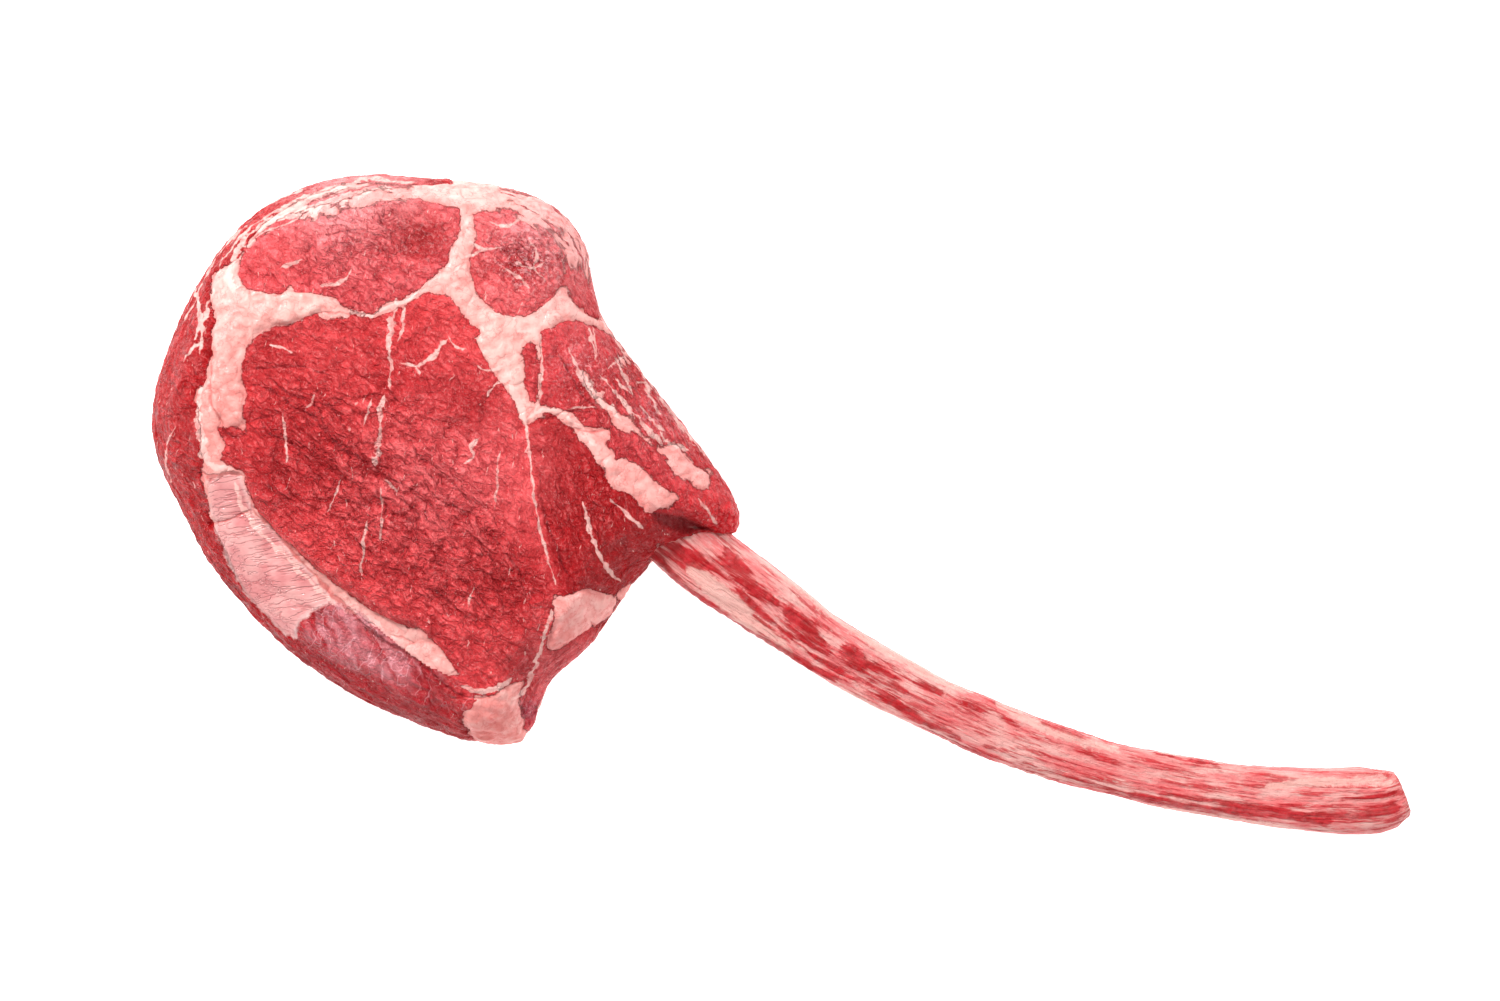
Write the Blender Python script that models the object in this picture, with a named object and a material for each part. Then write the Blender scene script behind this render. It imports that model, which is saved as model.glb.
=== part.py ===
"""Raw tomahawk steak: one thick beef rib steak on its long scraped rib bone, lying flat.

Metres, +Z up. The steak rests on its lower cut face at z = 0, its upper cut face looks up, and
the rib runs off towards +X and comes down onto the same surface at its sawn end. The origin is
the middle of the whole object's base. Plan points are written in millimetres, as (x, y).

Each muscle runs right through the steak, from one cut face to the other. The seam fat is one
slab with the muscles and the rib let into it, so that it shows wherever no muscle does.
"""

import math

import bmesh
import bpy
import numpy as np
from mathutils import Vector, noise

MM = 0.001

# The whole slab, in millimetres
FACE_HEIGHT = 50.0  # the upper cut face, at its highest
FACE_TOP = (-148.0, 15.0)  # where the upper face is highest, in plan
FACE_FALL = 5.0  # how far the upper face has sunk 100 mm away from there
RIM_HEIGHT = 20.0  # where the side of the slab bulges out furthest
RIM_OVER = 23.0  # width of the rounding above that line, in plan
RIM_UNDER = 13.0  # width of the rounding below it
RIM_BLUNTNESS = 0.4  # depth in from the side that is treated as the side itself
CLEARANCE = 0.3  # between neighbouring pieces
MUSCLE_ROUNDING = 2.6  # radius of a muscle's cut edges
CUT_BELOW = -6.0  # span of the upright cuts through the slab
CUT_ABOVE = 66.0
MERGE_DISTANCE = 0.06  # corners nearer than this are one

# Plan of the whole slab, without the rib
STEAK_OUTLINE = [
    (-103, 122), (-122, 125), (-142, 126), (-162, 127), (-184, 122), (-206, 109), (-224, 86),
    (-236, 60), (-242, 37), (-240, 18), (-230, -2), (-221, -20), (-207, -38), (-189, -56),
    (-166, -72), (-140, -84), (-118, -91), (-100, -91), (-94, -80), (-90, -68), (-76, -56),
    (-65, -42), (-55, -27), (-42, -18), (-24, -14), (-14, -8), (-19, 6), (-34, 26), (-49, 45),
    (-64, 64), (-72, 82), (-76, 101), (-87, 115),
]

# Plans of the muscles, counter-clockwise
EYE_OUTLINE = [
    (-204, 20), (-199, 0), (-182, -18), (-156, -38), (-133, -50), (-116, -68), (-96, -66),
    (-86, -50), (-84, -30), (-88, -14), (-92, 8), (-96, 28), (-102, 42), (-112, 57), (-119, 70),
    (-129, 80), (-141, 77), (-149, 71), (-163, 70), (-180, 70), (-196, 67), (-204, 56),
]
SIDE_OUTLINE = [
    (-97, 15), (-92, -10), (-84, -33), (-70, -36), (-57, -30), (-48, -18), (-48, -8), (-55, 3),
    (-66, 8), (-76, 21), (-87, 32), (-97, 32),
]
UPPER_OUTLINE = [
    (-204, 84), (-193, 81), (-173, 79), (-161, 74), (-148, 78), (-136, 85), (-125, 97),
    (-124, 111), (-139, 117), (-160, 114), (-180, 110), (-199, 102), (-207, 91),
]
CORNER_OUTLINE = [
    (-119, 90), (-113, 77), (-101, 71), (-90, 76), (-82, 86), (-84, 98), (-93, 108),
    (-106, 112), (-118, 108),
]
RIB_MEAT_OUTLINE = [
    (-90, 42), (-77, 33), (-66, 21), (-56, 9), (-45, -4), (-33, -15), (-19, -13), (-16, -5),
    (-20, 6), (-34, 26), (-49, 45), (-62, 62), (-71, 69), (-82, 71), (-91, 62),
]

# The cap muscle follows the rim round the left: first and last share of the outline, and the
# widths of the strip at even steps between them
CAP_SPAN = (0.035, 0.535)
CAP_WIDTHS = (3, 4, 5, 6, 8, 12, 17, 22, 23, 17, 12, 11, 12, 18, 23, 25, 22, 12)
CAP_OVERHANG = 0.5  # how far it stands out of the slab's side
CAP_CUT_BEYOND = 4.0  # how far the cut for it runs past the slab's side

# Stations of the rib: x, y, half width, lowest level, highest level
BONE_STATIONS = [
    (-52, -2, 13, 14, 31), (-36, -15, 14, 13, 31), (-22, -26, 13.5, 12, 30),
    (-6, -37, 13.2, 11, 28), (16, -53, 12, 9, 25), (40, -67, 11.5, 7, 22), (64, -79, 11, 5, 20),
    (90, -90, 11, 3, 18), (116, -99, 10.5, 2, 16), (144, -106, 10.5, 1, 15),
    (172, -111, 11, 0, 15), (198, -114, 12, 0, 16), (218, -115, 13, 0, 17),
    (233, -115, 12.5, 0, 17), (242.5, -112, 9.5, 1.5, 16),
]
BONE_BOXINESS = 1.25
CAP_BOXINESS = 2.2

# Lumps of fat that stand proud of the cut face: x, y, radius, rise
FAT_LUMPS = [
    (-205, 72, 16, 2.5), (-186, 75, 14, 2.5), (-212, 48, 11, 3.0), (-213, 30, 10, 2.5),
    (-211, 12, 8, 1.5), (-110, 57, 12, 2.0), (-123, 90, 9, 1.5), (-52, 18, 14, 2.5),
    (-76, -43, 13, 2.5), (-109, -80, 10, 2.0),
]
# At the lower left the fat and the cap muscle lie lower, and the side of the eye shows
LOW_SIDE = (-196, -48)
LOW_SIDE_RADIUS = 64.0
LOW_SIDE_DROP = 8.0

UNEVENNESS = 1.0  # height of the broad dents in the flesh
UNEVENNESS_SCALE = 14.0  # their size across

# Facets: points round a slab, steps round its edge, rings across its face
EYE_FACETS = (64, 2, 9)
MUSCLE_FACETS = (40, 2, 4)
FAT_FACETS = (88, 5, 6)
# Points round a drawn-out piece, and rings along it
BONE_FACETS = (20, 60)
CAP_FACETS = (14, 52)

# Colour of each piece as the eye sees it, red, green and blue from 0 to 1, and its roughness
FINISHES = {
    "eye_muscle": ((0.77, 0.26, 0.28), 0.38),
    "side_muscle": ((0.67, 0.20, 0.22), 0.38),
    "upper_muscle": ((0.86, 0.39, 0.41), 0.38),
    "corner_muscle": ((0.86, 0.44, 0.46), 0.4),
    "rib_meat": ((0.84, 0.38, 0.40), 0.38),
    "cap_muscle": ((0.74, 0.27, 0.29), 0.36),
    "seam_fat": ((0.96, 0.70, 0.67), 0.45),
    "rib_bone": ((0.94, 0.66, 0.63), 0.5),
}


def clear_scene():
    """Remove whatever the startup file holds."""
    for obj in list(bpy.data.objects):
        bpy.data.objects.remove(obj)


def new_collection(name):
    """A collection linked to the scene."""
    collection = bpy.data.collections.new(name)
    bpy.context.scene.collection.children.link(collection)
    return collection


def to_linear(channel):
    """One colour channel as Blender stores it."""
    return ((channel + 0.055) / 1.055) ** 2.4 if channel > 0.04045 else channel / 12.92


def own_material(name):
    """A Principled material in the colour of the piece of that name."""
    colour, roughness = FINISHES[name]
    material = bpy.data.materials.new(name)
    material.use_nodes = True
    surface = material.node_tree.nodes["Principled BSDF"]
    surface.inputs["Base Color"].default_value = [*map(to_linear, colour), 1.0]
    surface.inputs["Roughness"].default_value = roughness
    surface.inputs["Metallic"].default_value = 0.0
    return material


def smooth_line(knots, count, closed=False):
    """Rows evenly spaced along a Catmull-Rom curve through the knots, by their first two columns."""
    knots = np.array(knots, float)
    if closed:
        padded = np.concatenate([knots[-1:], knots, knots[:2]])
    else:
        first = 2 * knots[:1] - knots[1:2]
        last = 2 * knots[-1:] - knots[-2:-1]
        padded = np.concatenate([first, knots, last])
    steps = np.linspace(0, 1, 24, endpoint=False)[:, None]
    fine = []
    for a, b, c, d in zip(padded, padded[1:], padded[2:], padded[3:]):
        curve = 2 * b + (c - a) * steps + (2 * a - 5 * b + 4 * c - d) * steps**2
        fine.append((curve + (3 * b - a - 3 * c + d) * steps**3) / 2)
    fine = np.concatenate([*fine, padded[-2:-1]])
    walked = np.concatenate([[0], np.cumsum(np.linalg.norm(np.diff(fine[:, :2], axis=0), axis=1))])
    marks = np.linspace(0, walked[-1], count, endpoint=not closed)
    return np.stack([np.interp(marks, walked, column) for column in fine.T], axis=1)


def outward(edge):
    """Unit normals that point out of a closed counter-clockwise outline."""
    along = np.roll(edge, -1, axis=0) - np.roll(edge, 1, axis=0)
    normals = np.stack([along[:, 1], -along[:, 0]], axis=1)
    return normals / np.linalg.norm(normals, axis=1, keepdims=True)


STEAK_EDGE = smooth_line(STEAK_OUTLINE, 400, closed=True)
STEAK_EDGE_NORMALS = outward(STEAK_EDGE)


def rim_depth(x, y):
    """How far a plan point lies in from the side of the slab."""
    offsets = STEAK_EDGE - (x, y)
    nearest = np.argmin(np.linalg.norm(offsets, axis=1))
    return max(RIM_BLUNTNESS, float(offsets[nearest] @ STEAK_EDGE_NORMALS[nearest]))


def rounding_share(depth, width):
    """Height of a quarter round at a depth in from the side, from 0 at the side to 1."""
    left = 1 - min(1.0, depth / width)
    return math.sqrt(1 - left * left)


def steak_low(x, y):
    """Level of the slab's underside, which turns up at the rim."""
    return RIM_HEIGHT * (1 - rounding_share(rim_depth(x, y), RIM_UNDER))


def steak_top(x, y):
    """Level of the upper cut face, which turns down at the rim."""
    away = math.hypot(x - FACE_TOP[0], y - FACE_TOP[1])
    face = FACE_HEIGHT - FACE_FALL * (away / 100) ** 2
    return RIM_HEIGHT + (face - RIM_HEIGHT) * rounding_share(rim_depth(x, y), RIM_OVER)


def fat_top(x, y):
    """Level of the fat: the slab's, with the proud lumps and the low side at the lower left."""
    rise = 0.0
    for lump_x, lump_y, radius, lump_rise in FAT_LUMPS:
        away = math.hypot(x - lump_x, y - lump_y) / radius
        rise += lump_rise * math.exp(-away * away)
    away = math.hypot(x - LOW_SIDE[0], y - LOW_SIDE[1]) / LOW_SIDE_RADIUS
    rise -= LOW_SIDE_DROP * math.exp(-(away**4))
    level = steak_top(x, y)
    return level + rise * (level - RIM_HEIGHT) / (FACE_HEIGHT - RIM_HEIGHT)


def dent(x, y, level):
    """A broad, gentle unevenness of the flesh, in millimetres."""
    return UNEVENNESS * noise.noise(Vector((x, y, level)) / UNEVENNESS_SCALE)


def named_object(name, form, collection):
    """A smooth-shaded object made from a bmesh, with its faces outward and its own material."""
    if form.calc_volume(signed=True) < 0:
        bmesh.ops.reverse_faces(form, faces=form.faces)
    mesh = bpy.data.meshes.new(name)
    form.to_mesh(mesh)
    form.free()
    mesh.shade_smooth()
    if name in FINISHES:
        mesh.materials.append(own_material(name))
    obj = bpy.data.objects.new(name, mesh)
    collection.objects.link(obj)
    return obj


def slab_rings(under, over, edge_steps, face_rings, follows_rim):
    """Rings of a slab from the middle of its underside, round its edge, to the middle of its face.

    Each is +1 for the upper face or -1 for the underside, the inset and the drop of the edge
    there, and the share of the way from the edge to the middle.
    """
    turns = [step / edge_steps * math.pi / 2 for step in range(edge_steps + 1)]
    rings = [(-1, under, 0.0, 1.0)]
    for turn in reversed(turns):
        rings.append((-1, under * (1 - math.cos(turn)), under * (1 - math.sin(turn)), 0.0))
    for turn in turns:
        rings.append((1, over * (1 - math.cos(turn)), over * (1 - math.sin(turn)), 0.0))
    for step in range(1, face_rings + 1):
        rings.append((1, over, 0.0, step / face_rings))
    return [(side, inset, 0.0 if follows_rim else drop, share) for side, inset, drop, share in rings]


def pressed_slab(name, outline, top_at, facets, collection, follows_rim=False):
    """A sphere pressed out to a closed outline in plan, and flat between the two cut faces.

    A slab that follows the rim takes its rounding from the whole steak's. The others are muscles,
    with a small rounding of their own.
    """
    around, edge_steps, face_rings = facets
    under, over = (RIM_UNDER, RIM_OVER) if follows_rim else (MUSCLE_ROUNDING, MUSCLE_ROUNDING)
    rings = slab_rings(under, over, edge_steps, face_rings, follows_rim)
    edge = smooth_line(outline, around, closed=True)
    centre = edge.mean(axis=0)
    form = bmesh.new()
    bmesh.ops.create_uvsphere(form, u_segments=around, v_segments=len(rings) - 1, radius=1.0)
    for vertex in form.verts:
        turn = round(math.atan2(vertex.co.y, vertex.co.x) / math.tau * around) % around
        tilt = math.asin(max(-1.0, min(1.0, vertex.co.z)))
        side, inset, drop, inward = rings[round((tilt / math.pi + 0.5) * (len(rings) - 1))]
        spoke = edge[turn] - centre
        x, y = centre + spoke * (1 - min(0.7, inset / np.linalg.norm(spoke))) * (1 - inward)
        top = top_at(x, y)
        low = steak_low(x, y)
        drop = min(drop, 0.45 * (top - low))
        if side > 0:
            level = top - drop + dent(x, y, 0.0) * (top - low) / FACE_HEIGHT
        else:
            level = low + drop
        vertex.co = Vector((x, y, level)) * MM
    return named_object(name, form, collection)


def drawn_out(name, line, facets, boxiness, levels_at, sink_at, collection):
    """A sphere drawn out along a line in plan, with a rounded section and flat ends.

    The line's rows are x, y and half width, then any others. Its levels_at(row, x, y) gives the
    lowest and the highest level there, and sink_at(share along, angle) sinks the skin.
    Boxiness above 1 squares the section.
    """
    around, along = facets
    form = bmesh.new()
    bmesh.ops.create_uvsphere(form, u_segments=around, v_segments=along, radius=1.0)
    for vertex in form.verts:
        tilt = math.asin(max(-1.0, min(1.0, vertex.co.z)))
        ring = round((tilt / math.pi + 0.5) * along)
        index = min(max(ring - 2, 0), along - 4)
        ahead = line[min(index + 1, along - 4), :2] - line[max(index - 1, 0), :2]
        aside = np.array((-ahead[1], ahead[0])) / np.linalg.norm(ahead)
        half_width = line[index, 2]
        end = min(ring, along - ring)
        reach = (0.0, 0.72, 0.94)[end] if end < 3 else 1.0
        angle = math.atan2(vertex.co.y, vertex.co.x)
        sink = sink_at(index / (along - 4), angle)
        across = math.copysign(abs(math.cos(angle)) ** (1 / boxiness), math.cos(angle))
        upward = math.copysign(abs(math.sin(angle)) ** (1 / boxiness), math.sin(angle))
        x, y = line[index, :2] + aside * across * (half_width - sink * abs(across)) * reach
        low, high = levels_at(line[index], x, y)
        level = (low + high) / 2 + upward * ((high - low) / 2 - sink * abs(upward)) * reach
        vertex.co = Vector((x, y, max(level, 0.0))) * MM
    return named_object(name, form, collection)


def rib_sink(share, angle):
    """Hollows of the rib's skin: a scraped slot along its near half, and a flat by a low ridge."""
    slot_along = math.exp(-(((share - 0.27) / 0.12) ** 4))
    slot_across = math.exp(-(((angle - math.radians(118)) / 0.42) ** 2))
    flat_along = math.exp(-(((share - 0.72) / 0.25) ** 4))
    flat_across = math.exp(-(((angle - math.radians(75)) / 0.3) ** 2))
    knobs = 0.35 * math.sin(share * 41) * math.cos(angle * 2 + share * 9)
    return 1.8 * slot_along * slot_across + 0.9 * flat_along * flat_across + knobs


def make_rib(collection):
    """The long rib: buried in the steak at one end, sawn off at the other."""
    line = smooth_line(BONE_STATIONS, BONE_FACETS[1] - 3)
    return drawn_out(
        "rib_bone", line, BONE_FACETS, BONE_BOXINESS,
        lambda row, x, y: (row[3], row[4]), rib_sink, collection,
    )


def cap_line():
    """Centre-line of the cap muscle in plan, with its half widths, along the left rim."""
    count = CAP_FACETS[1] - 3
    shares = np.linspace(*CAP_SPAN, count)
    picks = np.round(shares * len(STEAK_EDGE)).astype(int)
    widths = np.interp(np.linspace(0, 1, count), np.linspace(0, 1, len(CAP_WIDTHS)), CAP_WIDTHS)
    inward = (widths / 2 - CAP_OVERHANG)[:, None]
    return np.column_stack([STEAK_EDGE[picks] - STEAK_EDGE_NORMALS[picks] * inward, widths / 2])


def make_cap(collection):
    """The thin cap muscle that wraps the slab's left side."""
    return drawn_out(
        "cap_muscle", cap_line(), CAP_FACETS, CAP_BOXINESS,
        lambda row, x, y: (steak_low(x, y), fat_top(x, y)), lambda share, angle: 0.0, collection,
    )


def upright_cutter(name, edge, cutters):
    """An upright prism a clearance larger than a closed counter-clockwise plan outline."""
    form = bmesh.new()
    base = bmesh.ops.create_circle(form, cap_ends=True, segments=len(edge), radius=1.0)["verts"]
    for vertex, point in zip(base, edge + outward(edge) * CLEARANCE):
        vertex.co = Vector((*point, CUT_BELOW)) * MM
    raised = bmesh.ops.extrude_face_region(form, geom=form.faces[:], use_keep_orig=True)["geom"]
    lifted = [item for item in raised if isinstance(item, bmesh.types.BMVert)]
    bmesh.ops.translate(form, verts=lifted, vec=(0.0, 0.0, (CUT_ABOVE - CUT_BELOW) * MM))
    bmesh.ops.recalc_face_normals(form, faces=form.faces)
    return hidden(named_object(name + "_cutter", form, cutters))


def cap_cutter(cutters):
    """The prism that lets the cap muscle into the rim: its inner line, and a line well outside."""
    line = cap_line()
    along = np.gradient(line[:, :2], axis=0)
    aside = np.stack([-along[:, 1], along[:, 0]], axis=1)
    aside /= np.linalg.norm(aside, axis=1, keepdims=True)
    ends = np.array([[-1], [1]]) * CLEARANCE
    lengthened = line[:, :2].copy()
    lengthened[[0, -1]] += along[[0, -1]] / np.linalg.norm(along[[0, -1]], axis=1)[:, None] * ends
    inner = lengthened + aside * line[:, 2:3]
    outer = lengthened - aside * (line[:, 2:3] + CAP_CUT_BEYOND)
    return upright_cutter("cap_muscle", np.concatenate([outer, inner[::-1]]), cutters)


def swollen_cutter(obj, cutters):
    """A copy of a piece that is a clearance larger all round."""
    cutter = bpy.data.objects.new(obj.name + "_cutter", obj.data.copy())
    cutters.objects.link(cutter)
    swell = cutter.modifiers.new("Clearance", "DISPLACE")
    swell.mid_level = 0.0
    swell.strength = CLEARANCE * MM
    return hidden(cutter)


def hidden(cutter):
    """A cutter, kept out of the finished object."""
    cutter.hide_render = True
    cutter.display_type = "WIRE"
    return cutter


def apply_cuts(obj, cutters):
    """Cut each cutter out of a piece, and keep the largest body that is left."""
    for cutter in cutters:
        cut = obj.modifiers.new("Cut " + cutter.name, "BOOLEAN")
        cut.operation = "DIFFERENCE"
        cut.solver = "EXACT"
        cut.object = cutter
    bpy.context.view_layer.update()
    graph = bpy.context.evaluated_depsgraph_get()
    mesh = bpy.data.meshes.new_from_object(obj.evaluated_get(graph))
    obj.modifiers.clear()
    obj.data = mesh
    keep_largest_body(mesh)


def keep_largest_body(mesh):
    """Join the corners that a cut leaves side by side, and drop its loose scraps."""
    form = bmesh.new()
    form.from_mesh(mesh)
    bmesh.ops.remove_doubles(form, verts=form.verts, dist=MERGE_DISTANCE * MM)
    unseen = set(form.verts)
    bodies = []
    while unseen:
        body = {unseen.pop()}
        front = list(body)
        while front:
            near = {edge.other_vert(vertex) for vertex in front for edge in vertex.link_edges}
            front = list(near & unseen)
            body |= near
            unseen -= near
        bodies.append(body)
    largest = max(bodies, key=len)
    bmesh.ops.delete(form, geom=[v for v in form.verts if v not in largest], context="VERTS")
    form.to_mesh(mesh)
    form.free()


def stand_on_origin(objects):
    """Move the meshes together so that the middle of their base is the origin."""
    corners = np.array([vertex.co for obj in objects for vertex in obj.data.vertices])
    low, high = corners.min(axis=0), corners.max(axis=0)
    offset = Vector((-(low[0] + high[0]) / 2, -(low[1] + high[1]) / 2, -low[2]))
    for obj in objects:
        for vertex in obj.data.vertices:
            vertex.co += offset


def main():
    """Build the rib, the muscles and the fat, and cut each to fit its neighbours."""
    clear_scene()
    steak = new_collection("tomahawk_steak")
    cutters = new_collection("cutters")
    rib_bone = make_rib(steak)
    pieces = [rib_bone]
    cuts = [swollen_cutter(rib_bone, cutters)]
    muscles = [
        ("eye_muscle", EYE_OUTLINE, EYE_FACETS),
        ("side_muscle", SIDE_OUTLINE, MUSCLE_FACETS),
        ("rib_meat", RIB_MEAT_OUTLINE, MUSCLE_FACETS),
        ("corner_muscle", CORNER_OUTLINE, MUSCLE_FACETS),
        ("upper_muscle", UPPER_OUTLINE, MUSCLE_FACETS),
    ]
    for name, outline, facets in muscles:
        pieces.append(pressed_slab(name, outline, steak_top, facets, steak))
        cuts.append(upright_cutter(name, smooth_line(outline, facets[0], closed=True), cutters))
    pieces.append(make_cap(steak))
    cuts.append(cap_cutter(cutters))
    pieces.append(
        pressed_slab("seam_fat", STEAK_OUTLINE, fat_top, FAT_FACETS, steak, follows_rim=True)
    )
    # Each piece gives way to those before it
    for index, piece in enumerate(pieces[1:], start=1):
        apply_cuts(piece, cuts[:index])
    stand_on_origin(pieces)


main()
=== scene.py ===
"""Looks of a raw tomahawk steak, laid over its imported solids.

The seven pieces of meat and fat are dressed as one closed skin, and the rib as another. Plan
points are in millimetres in the part's own frame, +X to the right and +Y up the photograph.
"""

import logging
import math
from collections.abc import Iterable, Iterator, Sequence
from contextlib import contextmanager
from dataclasses import dataclass
from enum import Enum

import bmesh
import bpy
import numpy as np
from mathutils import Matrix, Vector, noise
from mathutils.bvhtree import BVHTree


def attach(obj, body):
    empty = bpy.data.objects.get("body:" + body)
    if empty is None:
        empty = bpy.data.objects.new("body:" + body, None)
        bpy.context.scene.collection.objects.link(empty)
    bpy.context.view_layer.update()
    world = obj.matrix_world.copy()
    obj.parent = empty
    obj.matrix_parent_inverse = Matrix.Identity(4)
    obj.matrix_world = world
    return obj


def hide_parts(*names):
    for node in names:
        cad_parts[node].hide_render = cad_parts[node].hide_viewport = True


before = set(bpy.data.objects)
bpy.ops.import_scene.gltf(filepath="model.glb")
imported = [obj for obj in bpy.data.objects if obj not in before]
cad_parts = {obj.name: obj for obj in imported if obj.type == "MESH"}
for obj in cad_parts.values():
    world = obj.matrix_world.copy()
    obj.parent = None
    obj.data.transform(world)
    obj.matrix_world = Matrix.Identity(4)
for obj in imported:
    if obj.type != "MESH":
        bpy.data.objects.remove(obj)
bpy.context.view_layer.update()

LOG = logging.getLogger("steak")
MM = 0.001
Rgb = tuple[float, float, float]
Row = tuple[float, ...]
Socket = bpy.types.NodeSocket
Value = Socket | float | Sequence[float]

FAR = -10.0  # half width stored where no line is near
AWAY = 99.0  # offset stored there
OUTSIDE = -20.0  # depth stored far outside an outline
CLEARANCE = 5.0  # room that strokes of one layer keep between them
WELD = 2e-6  # metres between corners that are taken as one
MUSCLES = ("eye_muscle", "side_muscle", "rib_meat", "corner_muscle", "upper_muscle", "cap_muscle")


class Flesh(Enum):
    """What a patch of the cut face is."""

    LEAN = "lean"
    FAT = "fat"


class Mark(Enum):
    """Names of what each skin's corners carry for its material."""

    LEAN_TONE = "lean_tone"
    FAT_TONE = "fat_tone"
    DEPTHS = "depths"
    RELIEF = "relief"
    RIM = "rim"
    COVER = "cover"
    GRAIN = "grain"
    VEINS = "veins"
    CRACKS = "cracks"


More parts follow.
